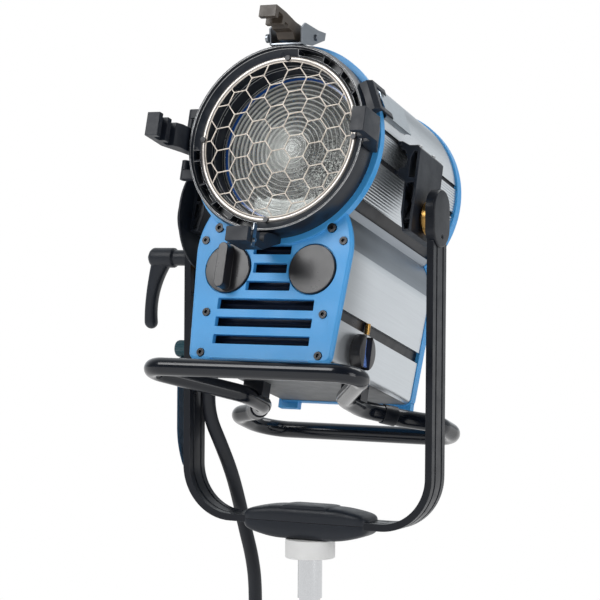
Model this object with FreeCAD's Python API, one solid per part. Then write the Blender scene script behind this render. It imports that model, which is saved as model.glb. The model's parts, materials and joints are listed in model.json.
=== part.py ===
import FreeCAD
import Part
import math
import os

V = FreeCAD.Vector

# ---------------------------------------------------------------- driving sizes (mm)
# Two working frames share the tilt axis as their origin: the yoke frame stands upright,
# the head frame leans back by REST_TILT. Both have -Y towards the lens and +Z up.
# place() puts a finished piece into the part frame, whose origin is the spigot shoulder.
REST_TILT = 15.35

YOKE_WIDTH = 315.0
BAR_THICK = 8.3
BAR_DEPTH = 36.0
BAR_BEND = 58.0
BAR_DROP = 343.5
GROOVE_WIDTH = 3.4
GROOVE_DEPTH = 1.1
GROOVE_OFFSET = 8.5
LEG_TOP = -24.0

COVER_LENGTH = 158.0
COVER_WALL = 3.6
COVER_END_HEIGHT = 10.5
COVER_TOP_HEIGHT = 17.5
COVER_FLAT = 68.0
CROWN_R = 34.0
CROWN_HEIGHT = 2.0
COVER_BOTTOM_HEIGHT = 20.5
COLLAR_R = 28.5
COLLAR_HEIGHT = 21.0
SPIGOT_R = 14.0
SPIGOT_LENGTH = 78.0
SPIGOT_SHANK = 46.0
SPIGOT_GROOVE = 8.0
SPIGOT_NECK_R = 12.0
BOLT_R = 6.0
BOLT_HEAD_R = 9.5
BOLT_HEAD_HEIGHT = 7.0

EAR_LINING = 0.5
EAR_PROUD = 2.5
EAR_RIGHT_R = 22.0
EAR_RIGHT_HALF = 32.0
EAR_LEFT_R = 32.0
PIVOT_R = 7.0
EAR_BORE_DEPTH = 8.3
EAR_SCREW_Z = -20.0
EAR_SCREW_R = 3.0
WASHER_R = 20.0

LOCK_DROP = 45.5
LOCK_STUD_R = 5.0
LOCK_PAD_R = 15.0
LEVER_NECK_R = 9.25
LEVER_NECK = 22.5
LEVER_HUB_R = 11.75
LEVER_HUB = 32.0
LEVER_REACH = 84.0
BUTTON_R = 5.5
BUTTON = 3.5
BRAKE_R = 61.0
BRAKE_THICK = 2.2

MOUNT_WIDTH = 15.0
MOUNT_LENGTH = 66.0
MOUNT_TOP = 75.0
MOUNT_BOTTOM = -24.0
MOUNT_WALL = 3.4
MOUNT_OFF = 10.5
MOUNT_FOOT = 1.8

LENS_AXIS = 60.3
FLANGE_STEP = 2.2
SHELL_FRONT = -77.0
SHELL_LENGTH = 212.0
SHELL_WALL = 2.6
FRONT_THICK = 7.0
FLANGE_RISE = 3.0
REAR_DEPTH = 16.0
BELLY_HALF = 95.3
BELLY_Z = -69.0
SHOULDER_Z = -19.0
BOTTOM_HALF = 87.5
BOTTOM_Z = -185.0
CORNER_R = 9.0
EDGE_CHAMFER = 2.5
PANEL_INSET = 1.0
STRIP_THICK = 2.0
STRIP_TOP = 0.0
STRIP_HEIGHT = 12.0
TRAY_TOP = -135.0
RAIL_LOW = 43.5
RAIL_HIGH = 77.0
RAIL_SLOT = 5.4
RAIL_DEPTH = 4.0
RAIL_BLOCK = 11.5
RAIL_WALL = 4.0

LENS_R = 87.5
LENS_EDGE = 6.0
LENS_RIM = 5.5
LENS_STEPS = 9
DOME_R = 18.0
RETAINER_WIDTH = 7.5
RETAINER_THICK = 2.0
LENS_GAP = 0.2
RING_WIDTH = 21.5
RING_DEPTH = 26.7
RING_LIP_STEP = 2.3
RING_MARGIN = 6.7
SEAT_OVERLAP = 3.0
SEAT_BEHIND = 18.0
SEAT_THICK = 2.5
CELL_WALL = 2.0
CELL_CLEAR = 2.8
BORE_STEP = 0.5
MOUTH_STEP = 2.7
MOUTH_DEPTH = 3.0
GUARD_DEPTH = 18.2
GUARD_STEP = 0.2
GUARD_WIDTH = 5.1
GUARD_THICK = 1.5
MESH_SIDE = 15.0
MESH_TURN = 9.7
MESH_WIRE = 1.2
MESH_THICK = 1.0
POCKET_LAND = 1.5
POCKET_WALL = 5.5
POCKET_FLOOR = 7.0
HINGE_AHEAD = 3.0
HINGE_R = 5.0
HINGE_PIN_R = 2.0
KNUCKLE_LOW = 19.0
KNUCKLE_HEIGHT = 11.0

CLAW_WIDTH = 27.0
CLAW_HEIGHT = 24.0
CLAW_LIP = 8.0
CLAW_GROOVE = 7.5
TOP_CLAW_WIDTH = 21.0
BRACKET_HALF = 20.5
BRACKET_SHEET = 2.0
BRACKET_SINK = 3.0
LATCH_PIN_Y = -86.0
LATCH_PIN_RISE = 18.7
LATCH_PIN_R = 2.5
DOOR_LATCH_ANGLE = 24.0
FORK_THICK = 2.6
FORK_CLEAR = 1.0
FORK_HALF = 18.0
FORK_ARM = 6.0
FORK_REAR = -66.0
LATCH_CLEAR = 0.4
LATCH_SHEET = 1.5
LATCH_HALF = 16.0
LATCH_FRONT = -76.0
LATCH_REAR = -10.0
LATCH_RAIL = 3.4

DIAL_R = 27.5
DIAL_X = 52.0
DIAL_Z = -81.5
DIAL_RISE = 2.0
KNOB_BAR_HALF = 5.8
KNOB_BAR_RISE = 16.0
SCREW_SPINDLE_R = 4.0
SPINDLE_END = 118.0

TUBE_R = 10.0
TUBE_FRONT_Y = -107.0
TUBE_FRONT_Z = -199.5
TUBE_SLOPE = -0.034
SLEEVE_WALL = 1.3
SLEEVE_LENGTH = 16.0
CLAMP_Y = 36.0
CLAMP_LENGTH = 18.0
CLAMP_WALL = 3.0

SWITCH_Y = -22.0
SWITCH_Z = -158.0
SWITCH_R = 20.0
SWITCH_RISE = 13.0
SWITCH_SLOT = 7.4
ROCKER_HALF = 15.5
ROCKER_TURN = 14.0
ROCKER_PIN_R = 1.4
STUD_Y = -8.0
STUD_R = 3.0

ROD_R = 4.0
ROD_X = 34.0
ROD_Z = 2.0
SHIELD_Z = -14.0
SHIELD_THICK = 1.5
ROD_FRONT = -56.0
SHIELD_FRONT = -58.0
CARRIAGE_FRONT = -20.0
CARRIAGE_REAR = 76.0
ROD_REAR = 128.0
BRACKET_THICK = 4.0
LAMP_Y = 22.0
LAMP_R = 12.0
SOCKET_R = 15.0
SOCKET_HEIGHT = 20.0
CARRIAGE_THICK = 12.0
MIRROR_R = 50.0
MIRROR_SHEET = 1.2

CABLE_R = 8.0
GLAND_X = -120.0
GLAND_Y = 50.0
GLAND_Z = -50.0
ENTRY_HALF = 13.0
ENTRY_HEIGHT = 20.0
NUT_R = 13.0
NUT_HEIGHT = 10.0
BOOT_LENGTH = 38.0
PLUG_R = 22.0
PLUG_LENGTH = 96.0
STRAP_Z = -152.0
STRAP_KNOB_R = 10.0
STRAP_KNOB = 19.0
STRAP_WIDTH = 22.0
STRAP_THICK = 3.0
STRAP_LENGTH = 128.0

RUN_GAP = 0.3
PIN_GAP = 0.06
FIT_GAP = 0.1
SEAT_GAP = 0.02

# The route of the head cable in the yoke frame, from the tip of its boot to its plug.
CABLE_ROUTE = [
    (-120.0, 22.27, -107.8),
    (-120.0, 13.53, -139.6),
    (-130.5, 7.5, -168.5),
    (-137.8, 4.5, -199.0),
    (-138.0, 9.5, -232.0),
    (-128.5, 20.0, -264.0),
    (-120.5, 31.5, -297.0),
    (-115.8, 41.0, -330.0),
    (-110.5, 47.0, -364.0),
    (-102.5, 50.0, -397.0),
    (-98.0, 51.0, -430.0),
    (-98.0, 51.0, -458.0),
]

# ---------------------------------------------------------------- worked-out places
PIVOT_Z = BAR_DROP + COVER_BOTTOM_HEIGHT + COLLAR_HEIGHT
BAR_Z = -BAR_DROP
LEG_OUT = YOKE_WIDTH / 2
LEG_IN = LEG_OUT - BAR_THICK
EAR_OUTSIDE = LEG_OUT + EAR_PROUD
EAR_INSIDE = LEG_IN - EAR_LINING
COVER_DEPTH = BAR_DEPTH + 2 * COVER_WALL
SEAT_LIP = LENS_R - SEAT_OVERLAP
BORE_R = LENS_R - BORE_STEP
MOUTH_R = LENS_R + MOUTH_STEP
CELL_R = LENS_R + LENS_GAP + CELL_WALL
OPENING_R = CELL_R + CELL_CLEAR
SEAT_DEPTH = -SEAT_BEHIND
CELL_REAR = SEAT_DEPTH - LENS_EDGE - RETAINER_THICK
GUARD_IN = MOUTH_R + GUARD_STEP
GUARD_OUT = GUARD_IN + GUARD_WIDTH
RING_R = LENS_R + RING_WIDTH
RING_LIP_R = RING_R - RING_LIP_STEP
POCKET_IN = GUARD_OUT + POCKET_LAND
POCKET_OUT = RING_R - POCKET_WALL
CLAW_R = RING_R + CLAW_HEIGHT
CLAW_LIP_R = RING_R + CLAW_LIP
CLAW_GROOVE_R = CLAW_LIP_R + CLAW_GROOVE
FLANGE_R = RING_R + RING_MARGIN
SHELL_R = FLANGE_R - FLANGE_STEP
RAIL_BLOCK_IN = SHELL_R - RAIL_BLOCK
FRONT_Y = SHELL_FRONT - FRONT_THICK
FLANGE_Y = FRONT_Y - FLANGE_RISE
DOOR_Y = FLANGE_Y - 0.5
SHELL_REAR = SHELL_FRONT + SHELL_LENGTH
REAR_Y = SHELL_REAR + REAR_DEPTH
STRIP_INSET = FLANGE_R - SHELL_R + SHELL_WALL
PANEL_WALL = STRIP_INSET - PANEL_INSET
STRIP_LOW = TRAY_TOP + STRIP_HEIGHT
PANEL_TOP = STRIP_TOP - STRIP_HEIGHT
HINGE_Y = DOOR_Y - HINGE_AHEAD
HINGE_X = -FLANGE_R - HINGE_R - RUN_GAP
BRACKET_BASE = LENS_AXIS + RING_R - BRACKET_SINK
LATCH_PIN_Z = BRACKET_BASE + LATCH_PIN_RISE
LATCH_R = SHELL_R + LATCH_RAIL + LATCH_CLEAR
FORK_IN = LATCH_R + LATCH_SHEET + FORK_CLEAR
FORK_OUT = FORK_IN + FORK_THICK
SLEEVE_R = TUBE_R + SLEEVE_WALL
CLAMP_HALF = TUBE_R + CLAMP_WALL
MOUNT_WAIST = SHELL_R + MOUNT_OFF
MOUNT_OUTSIDE = MOUNT_WAIST + MOUNT_WIDTH
MOUNT_FRONT = -MOUNT_LENGTH / 2
BRAKE_FACE = MOUNT_OUTSIDE + BRAKE_THICK

NODES = {}


# ---------------------------------------------------------------- shape helpers
def box(x0, x1, y0, y1, z0, z1):
    return Part.makeBox(x1 - x0, y1 - y0, z1 - z0, V(x0, y0, z0))


def rod_x(radius, x0, x1, y=0.0, z=0.0):
    return Part.makeCylinder(radius, x1 - x0, V(x0, y, z), V(1, 0, 0))


def rod_y(radius, y0, y1, x=0.0, z=0.0):
    return Part.makeCylinder(radius, y1 - y0, V(x, y0, z), V(0, 1, 0))


def rod_z(radius, z0, z1, x=0.0, y=0.0):
    return Part.makeCylinder(radius, z1 - z0, V(x, y, z0), V(0, 0, 1))


def plate_x(points, x0, x1):
    """A prism between x0 and x1 over a closed outline of (y, z) points."""
    wire = Part.makePolygon([V(x0, y, z) for y, z in points + points[:1]])
    return Part.Face(wire).extrude(V(x1 - x0, 0, 0))


def plate_y(points, y0, y1):
    """A prism between y0 and y1 over a closed outline of (x, z) points."""
    wire = Part.makePolygon([V(x, y0, z) for x, z in points + points[:1]])
    return Part.Face(wire).extrude(V(0, y1 - y0, 0))


def turned(points, axis_z=LENS_AXIS):
    """A solid of revolution about the lens axis from a closed outline of (radius, y) points."""
    wire = Part.makePolygon([V(r, y, axis_z) for r, y in points + points[:1]])
    return Part.Face(wire).revolve(V(0, 0, axis_z), V(0, 1, 0), 360)


def annulus(inner, outer, y0, y1):
    return turned([(inner, y0), (outer, y0), (outer, y1), (inner, y1)])


def about_lens(shape, degrees):
    """The shape turned about the lens axis; degrees count from +X towards +Z."""
    made = shape.copy()
    made.rotate(V(0, 0, LENS_AXIS), V(0, -1, 0), degrees)
    return made


def mirrored(shape):
    return shape.mirror(V(0, 0, 0), V(1, 0, 0))


def pair(shape):
    """The shape and its mirror image across the middle plane, as two solids."""
    return Part.makeCompound([shape, mirrored(shape)])


def fused(shapes):
    made = shapes[0].multiFuse(shapes[1:])
    return made.removeSplitter()


def socket_screw(x, y, z, radius, length):
    """A cap screw along Y whose head faces -Y, with a hex socket in the head."""
    head = rod_y(radius, y, y + radius, x, z)
    shank = rod_y(radius * 0.55, y + radius, y + length, x, z)
    corner = radius * 0.55
    angles = [math.radians(60 * i) for i in range(6)]
    hexagon = [(x + corner * math.cos(a), z + corner * math.sin(a)) for a in angles]
    return head.fuse(shank).cut(plate_y(hexagon, y - 1, y + radius * 0.6))


def tube(points, bends, radius):
    """A round bar along straight runs joined by tangent arcs; bends holds each point's arc radius."""
    count = len(points)
    cuts = {}
    for i in range(1, count - 1):
        here = V(*points[i])
        back = (V(*points[i - 1]) - here).normalize()
        onward = (V(*points[i + 1]) - here).normalize()
        half = (math.pi - back.getAngle(onward)) / 2
        reach = bends[i] * math.tan(half)
        middle = here + (back + onward).normalize() * bends[i] * (1 / math.cos(half) - 1)
        cuts[i] = (here + back * reach, middle, here + onward * reach)
    edges = []
    for i in range(count - 1):
        j = i + 1
        start = cuts[i][2] if i in cuts else V(*points[i])
        end = cuts[j][0] if j in cuts else V(*points[j])
        edges.append(Part.LineSegment(start, end).toShape())
        if j in cuts:
            edges.append(Part.Arc(*cuts[j]).toShape())
    path = Part.Wire(edges)
    first = edges[0]
    along = (first.Vertexes[-1].Point - first.Vertexes[0].Point).normalize()
    ring = Part.Wire(Part.makeCircle(radius, first.Vertexes[0].Point, along))
    return path.makePipeShell([ring], True, False)


def add(name, shape, head):
    """Moves a finished piece from its working frame into the part frame and keeps it."""
    made = shape.copy()
    if head:
        made.rotate(V(0, 0, 0), V(1, 0, 0), -REST_TILT)
    made.translate(V(0, 0, PIVOT_Z))
    solids = made.Solids
    NODES[name] = solids[0] if len(solids) == 1 else Part.makeCompound(solids)


# ---------------------------------------------------------------- yoke
def u_line(half, low, bend, y):
    """The edges of an upright U: half its width, its lowest z and the radius of its two bends."""
    corner = bend * (1 - math.sqrt(0.5))
    lines = [
        Part.LineSegment(V(-half, y, LEG_TOP), V(-half, y, low + bend)),
        Part.Arc(V(-half, y, low + bend), V(-half + corner, y, low + corner), V(-half + bend, y, low)),
        Part.LineSegment(V(-half + bend, y, low), V(half - bend, y, low)),
        Part.Arc(V(half - bend, y, low), V(half - corner, y, low + corner), V(half, y, low + bend)),
        Part.LineSegment(V(half, y, low + bend), V(half, y, LEG_TOP)),
    ]
    return [line.toShape() for line in lines]


def u_strip(inset, thick, y0, y1):
    """A flat strip bent to the yoke's U; its outer face lies inset from the middle of the bar."""
    half = LEG_OUT - BAR_THICK / 2 + inset
    low = BAR_Z - inset
    bend = BAR_BEND + inset
    outer = u_line(half, low, bend, y0)
    inner = u_line(half - thick, low + thick, bend - thick, y0)
    caps = [Part.LineSegment(V(side * half, y0, LEG_TOP), V(side * (half - thick), y0, LEG_TOP)).toShape()
            for side in (-1, 1)]
    wire = Part.Wire(Part.__sortEdges__(outer + inner + caps))
    return Part.Face(wire).extrude(V(0, y1 - y0, 0))


def yoke_bar():
    """A flat bar bent to a U, with two grooves along both wide faces."""
    bar = u_strip(BAR_THICK / 2, BAR_THICK, -BAR_DEPTH / 2, BAR_DEPTH / 2)
    for side in (-1, 1):
        y0 = side * GROOVE_OFFSET - GROOVE_WIDTH / 2
        for inset in (BAR_THICK / 2, GROOVE_DEPTH - BAR_THICK / 2):
            bar = bar.cut(u_strip(inset, GROOVE_DEPTH, y0, y0 + GROOVE_WIDTH))
    bar = bar.cut(rod_z(BOLT_R + FIT_GAP, BAR_Z - BAR_THICK, BAR_Z + BAR_THICK))
    return bar.cut(rod_x(LOCK_STUD_R + PIN_GAP, -LEG_OUT - 1, -LEG_IN + 1, 0, -LOCK_DROP))


def stadium_x(radius, half, x0, x1):
    """A round-ended block along X: radius at both ends, half its height up and down."""
    straight = half - radius
    shape = box(x0, x1, -radius, radius, -straight, straight) if straight > 0 else None
    ends = [rod_x(radius, x0, x1, 0, straight), rod_x(radius, x0, x1, 0, -straight)]
    return fused([s for s in [shape] + ends if s])


def leg_room(side, low):
    """The space that the end of a leg takes inside its ear."""
    x0, x1 = sorted([side * (LEG_IN - FIT_GAP), side * (LEG_OUT + FIT_GAP)])
    half = BAR_DEPTH / 2 + FIT_GAP
    return box(x0, x1, -half, half, low, LEG_TOP + FIT_GAP)


def rounded_face(block, x):
    """The block with a small round along the rim of its outer face."""
    rim = [e for e in block.Edges if abs(e.BoundBox.XMin - x) < 0.01 and e.BoundBox.XLength < 0.01]
    return block.makeFillet(2.0, rim)


def ear_right():
    """The round-ended block that closes the right leg, with a blind bore for the pivot pin."""
    block = rounded_face(stadium_x(EAR_RIGHT_R, EAR_RIGHT_HALF, EAR_INSIDE, EAR_OUTSIDE), EAR_OUTSIDE)
    block = block.cut(leg_room(1, -EAR_RIGHT_HALF - 1))
    block = block.cut(rod_x(PIVOT_R + SEAT_GAP, EAR_INSIDE - 1, EAR_INSIDE + EAR_BORE_DEPTH))
    return block.cut(rod_x(EAR_SCREW_R + SEAT_GAP, LEG_OUT, EAR_OUTSIDE + 1, 0, EAR_SCREW_Z))


def ear_screw():
    """The small flush screw that ties the right ear to the leg."""
    face = EAR_OUTSIDE - 0.4
    corner = EAR_SCREW_R * 0.6
    screw = rod_x(EAR_SCREW_R, LEG_OUT, face, 0, EAR_SCREW_Z)
    angles = [math.radians(60 * i) for i in range(6)]
    hexagon = [(corner * math.cos(a), EAR_SCREW_Z + corner * math.sin(a)) for a in angles]
    return screw.cut(plate_x(hexagon, face - 1.5, face + 1))


def ear_left():
    """The round eye that closes the left leg."""
    block = rounded_face(rod_x(EAR_LEFT_R, -EAR_OUTSIDE, -EAR_INSIDE), -EAR_OUTSIDE)
    block = block.cut(leg_room(-1, -EAR_LEFT_R - 1))
    block = block.cut(rod_x(LOCK_PAD_R + FIT_GAP, -LEG_IN, -EAR_INSIDE + 1, 0, -LOCK_DROP))
    return block.cut(rod_x(PIVOT_R + SEAT_GAP, -EAR_INSIDE - EAR_BORE_DEPTH, -EAR_INSIDE + 1))


def yoke_ears():
    return Part.makeCompound([ear_right(), ear_screw(), ear_left()])


def pivot_pins():
    """The right pin with its bronze washer, and the flanged left stub."""
    right = rod_x(PIVOT_R, MOUNT_OUTSIDE - MOUNT_WALL, EAR_INSIDE + EAR_BORE_DEPTH)
    washer = rod_x(WASHER_R, MOUNT_OUTSIDE + RUN_GAP, EAR_INSIDE)
    near = [e for e in washer.Edges if abs(e.BoundBox.XMax - MOUNT_OUTSIDE - RUN_GAP) < 0.01]
    washer = washer.makeChamfer(4.0, near)
    washer = washer.cut(rod_x(PIVOT_R + SEAT_GAP, MOUNT_OUTSIDE - 1, EAR_INSIDE + 1))
    left = rod_x(PIVOT_R, -EAR_INSIDE - EAR_BORE_DEPTH, -MOUNT_OUTSIDE + MOUNT_WALL)
    flange = rod_x(WASHER_R, -EAR_INSIDE, -BRAKE_FACE - RUN_GAP)
    return Part.makeCompound([right, washer, left.fuse(flange)])


def cover_half(up):
    """One half of the shell round the foot of the yoke; up is 1 above the seam and -1 below."""
    half = COVER_LENGTH / 2
    flat = COVER_FLAT / 2
    high = COVER_TOP_HEIGHT if up > 0 else COVER_BOTTOM_HEIGHT
    y0 = -COVER_DEPTH / 2

    def point(x, z):
        return V(x, y0, BAR_Z + up * z)

    sag = (high - COVER_END_HEIGHT) * 0.3
    middle = COVER_END_HEIGHT + (high - COVER_END_HEIGHT) / 2 + sag
    across = (half + flat) / 2
    edges = [
        Part.LineSegment(point(-half, 0), point(-half, COVER_END_HEIGHT)),
        Part.Arc(point(-half, COVER_END_HEIGHT), point(-across, middle), point(-flat, high)),
        Part.LineSegment(point(-flat, high), point(flat, high)),
        Part.Arc(point(flat, high), point(across, middle), point(half, COVER_END_HEIGHT)),
        Part.LineSegment(point(half, COVER_END_HEIGHT), point(half, 0)),
        Part.LineSegment(point(half, 0), point(-half, 0)),
    ]
    body = Part.Face(Part.Wire([e.toShape() for e in edges])).extrude(V(0, COVER_DEPTH, 0))
    corners = [e for e in body.Edges if e.BoundBox.XLength < 0.01 and e.BoundBox.YLength < 0.01]
    body = body.makeFillet(COVER_WALL - 0.4, corners)
    bar = box(-half - 1, half + 1, -BAR_DEPTH / 2 - FIT_GAP, BAR_DEPTH / 2 + FIT_GAP,
              BAR_Z - BAR_THICK / 2 - FIT_GAP, BAR_Z + BAR_THICK / 2 + FIT_GAP)
    return body.cut(bar)


def cover_top():
    crown_top = COVER_TOP_HEIGHT + CROWN_HEIGHT
    crown = rod_z(CROWN_R, BAR_Z + COVER_TOP_HEIGHT - 0.01, BAR_Z + crown_top)
    crown = crown.common(box(-CROWN_R, CROWN_R, -COVER_DEPTH / 2, COVER_DEPTH / 2,
                             BAR_Z, BAR_Z + crown_top))
    top = fused([cover_half(1), crown])
    room = rod_z(BOLT_HEAD_R + 1, BAR_Z, BAR_Z + BAR_THICK / 2 + BOLT_HEAD_HEIGHT + 1)
    return top.cut(room)


def cover_bottom():
    return cover_half(-1).cut(rod_z(BOLT_R + FIT_GAP, BAR_Z - 30, BAR_Z))


def collar():
    top = COLLAR_HEIGHT - PIVOT_Z
    ring = rod_z(COLLAR_R, -PIVOT_Z, top)
    edges = [e for e in ring.Edges if e.BoundBox.ZLength < 0.01]
    return ring.makeFillet(1.0, edges).cut(rod_z(BOLT_R + FIT_GAP, -PIVOT_Z - 1, top + 1))


def spigot():
    """The stand fitting: a turned pin with a locking groove near its end."""
    shoulder = -PIVOT_Z
    end = shoulder - SPIGOT_LENGTH
    neck = shoulder - SPIGOT_SHANK
    pin = rod_z(SPIGOT_R, end, shoulder)
    tip = [e for e in pin.Edges if abs(e.BoundBox.ZMax - end) < 0.01]
    pin = pin.makeChamfer(2.0, tip)
    groove = rod_z(SPIGOT_R + 1, neck - SPIGOT_GROOVE, neck)
    pin = pin.cut(groove.cut(rod_z(SPIGOT_NECK_R, neck - SPIGOT_GROOVE, neck)))
    return pin.cut(rod_z(BOLT_R + FIT_GAP, shoulder - 30, shoulder + 1))


def spigot_bolt():
    seat = BAR_Z + BAR_THICK / 2
    shank = rod_z(BOLT_R, -PIVOT_Z - 29.5, seat)
    return shank.fuse(rod_z(BOLT_HEAD_R, seat, seat + BOLT_HEAD_HEIGHT))


def lock_pad():
    """The brass pad that the lock lever presses on the brake disc."""
    return rod_x(LOCK_PAD_R, -LEG_IN, -BRAKE_FACE - RUN_GAP, 0, -LOCK_DROP)


def lever_handle():
    """A clamping lever: a round hub on a neck, with an arm that curves down and outward."""
    neck_end = -LEG_OUT - LEVER_NECK
    hub_end = neck_end - LEVER_HUB
    neck = rod_x(LEVER_NECK_R, neck_end, -LEG_OUT - RUN_GAP, 0, -LOCK_DROP)
    hub = rod_x(LEVER_HUB_R, hub_end, neck_end, 0, -LOCK_DROP)
    tip = -LOCK_DROP - LEVER_REACH
    y0 = -LEVER_HUB_R * 0.72
    outer = Part.Arc(V(hub_end + 1, y0, -LOCK_DROP - 4), V(hub_end - 6.2, y0, tip / 2 - 22),
                     V(hub_end - 8.5, y0, tip + 8))
    inner = Part.Arc(V(hub_end + 25, y0, -LOCK_DROP - 8), V(hub_end + 9.6, y0, tip / 2 - 20),
                     V(hub_end + 6.5, y0, tip + 8))
    end = Part.Arc(V(hub_end - 8.5, y0, tip + 8), V(hub_end - 1, y0, tip),
                   V(hub_end + 6.5, y0, tip + 8))
    top = Part.LineSegment(V(hub_end + 25, y0, -LOCK_DROP - 8), V(hub_end + 1, y0, -LOCK_DROP - 4))
    edges = [e.toShape() for e in (outer, end, inner, top)]
    arm = Part.Face(Part.Wire(Part.__sortEdges__(edges))).extrude(V(0, -2 * y0, 0))
    handle = fused([neck, hub, arm])
    return handle.cut(rod_x(LOCK_STUD_R + SEAT_GAP, hub_end - 1, -LEG_OUT + 1, 0, -LOCK_DROP))


def lock_stud():
    """The threaded stud of the lock, through the left leg, and the button that caps its outer end."""
    hub_end = -LEG_OUT - LEVER_NECK - LEVER_HUB
    stud = rod_x(LOCK_STUD_R, hub_end, -LEG_IN - RUN_GAP, 0, -LOCK_DROP)
    button = rod_x(BUTTON_R, hub_end - BUTTON, hub_end, 0, -LOCK_DROP)
    rim = [e for e in button.Edges if abs(e.BoundBox.XMax - hub_end + BUTTON) < 0.01]
    return Part.makeCompound([stud, button.makeFillet(1.5, rim)])


# ---------------------------------------------------------------- side mounts
def side_mount():
    """The right mount: a hollow profile along the housing, open cells, two feet on the rails."""
    out = MOUNT_OUTSIDE
    foot = SHELL_R + MOUNT_FOOT
    outline = [
        (out, MOUNT_BOTTOM), (out, MOUNT_TOP - 4), (out - 4, MOUNT_TOP), (MOUNT_WAIST + 1, MOUNT_TOP),
        (foot, MOUNT_TOP + 5),
        (foot, RAIL_HIGH - 7), (foot + 5, RAIL_HIGH - 7), (MOUNT_WAIST + 1, 58),
        (MOUNT_WAIST - 2, RAIL_LOW + 6), (foot, RAIL_LOW + 5), (foot, RAIL_LOW - 4),
        (MOUNT_WAIST, RAIL_LOW - 10), (MOUNT_WAIST, -2), (out - 10.5, MOUNT_BOTTOM),
    ]
    body = plate_y(outline, MOUNT_FRONT, -MOUNT_FRONT)
    right = out - MOUNT_WALL
    left = MOUNT_WAIST + MOUNT_WALL
    cells = [
        [(left, 12), (right, 12), (right, 32), (left, 32)],
        [(left, -7), (right, -7), (right, 12 - MOUNT_WALL), (left, 12 - MOUNT_WALL)],
        [(left + 3.4, -21), (right, -21), (right, -7 - MOUNT_WALL), (left + 1.2, -7 - MOUNT_WALL)],
        [(left + 1, 38), (right, 38), (right, 68), (left + 4, 68), (left + 1, 60)],
    ]
    for cell in cells:
        body = body.cut(plate_y(cell, MOUNT_FRONT - 1, -MOUNT_FRONT + 1))
    return body


def side_mount_right():
    return side_mount().cut(rod_x(PIVOT_R + PIN_GAP, MOUNT_WAIST - 1, MOUNT_OUTSIDE + 1))


def side_mount_left():
    return mirrored(side_mount_right())


def rail_shoes():
    """The hooks of both mounts: each runs in a rail slot and carries its screw head."""
    shoes = []
    for z in (RAIL_LOW, RAIL_HIGH):
        neck_in = SHELL_R - RAIL_DEPTH + 1.0
        tongue = box(neck_in, SHELL_R + MOUNT_FOOT, MOUNT_FRONT, -MOUNT_FRONT,
                     z - RAIL_SLOT / 2 + RUN_GAP, z + RAIL_SLOT / 2 - RUN_GAP)
        shoes.append(tongue)
    return pair(Part.makeCompound(shoes))


def mount_screws():
    """The two dome-headed screws on top of each side mount."""
    screws = []
    for y in (MOUNT_FRONT + 14, -MOUNT_FRONT - 14):
        screws.append(rod_z(4.2, MOUNT_TOP, MOUNT_TOP + 4, MOUNT_OUTSIDE - 9, y))
    screws = [s.makeFillet(1.6, [s.Edges[0]]) for s in screws]
    return pair(Part.makeCompound(screws))


def brake_disc():
    disc = rod_x(BRAKE_R, -BRAKE_FACE, -MOUNT_OUTSIDE)
    return disc.cut(rod_x(PIVOT_R + PIN_GAP, -BRAKE_FACE - 1, -MOUNT_OUTSIDE + 1))


# ---------------------------------------------------------------- housing
def housing_outline(inset, y):
    """The closed outline of the housing at y: a round top, bulged flanks, a flat round-cornered foot."""
    top_r = FLANGE_R - inset
    join_z = SHOULDER_Z - LENS_AXIS
    join_x = math.sqrt(top_r**2 - join_z**2)
    belly = BELLY_HALF - inset
    foot_x = BOTTOM_HALF - inset
    low = BOTTOM_Z + inset
    corner = max(CORNER_R - inset, 1.0)
    bulge_x = belly - 0.2 * (belly - join_x)
    bulge_z = SHOULDER_Z - 0.42 * (SHOULDER_Z - BELLY_Z)
    cut = corner * (1 - math.sqrt(0.5))
    edges = [
        Part.Arc(V(join_x, y, SHOULDER_Z), V(0, y, LENS_AXIS + top_r), V(-join_x, y, SHOULDER_Z)),
        Part.Arc(V(-join_x, y, SHOULDER_Z), V(-bulge_x, y, bulge_z), V(-belly, y, BELLY_Z)),
        Part.LineSegment(V(-belly, y, BELLY_Z), V(-foot_x, y, low + corner)),
        Part.Arc(V(-foot_x, y, low + corner), V(-foot_x + cut, y, low + cut),
                 V(-foot_x + corner, y, low)),
        Part.LineSegment(V(-foot_x + corner, y, low), V(foot_x - corner, y, low)),
        Part.Arc(V(foot_x - corner, y, low), V(foot_x - cut, y, low + cut),
                 V(foot_x, y, low + corner)),
        Part.LineSegment(V(foot_x, y, low + corner), V(belly, y, BELLY_Z)),
        Part.Arc(V(belly, y, BELLY_Z), V(bulge_x, y, bulge_z), V(join_x, y, SHOULDER_Z)),
    ]
    return Part.Face(Part.Wire([e.toShape() for e in edges]))


def housing_block(inset, y0, y1):
    return housing_outline(inset, y0).extrude(V(0, y1 - y0, 0))


def skin(inset, wall, z0, z1):
    """The part of the housing's wall that lies between two heights."""
    outer = housing_block(inset, SHELL_FRONT, SHELL_REAR)
    inner = housing_block(inset + wall, SHELL_FRONT - 1, SHELL_REAR + 1)
    wide = FLANGE_R + 5
    return outer.cut(inner).common(box(-wide, wide, SHELL_FRONT, SHELL_REAR, z0, z1))


def rail_slots(z):
    slot = box(SHELL_R - RAIL_DEPTH, SHELL_R + 10, SHELL_FRONT - 1, SHELL_REAR + 1,
               z - RAIL_SLOT / 2, z + RAIL_SLOT / 2)
    return pair(slot)


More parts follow.
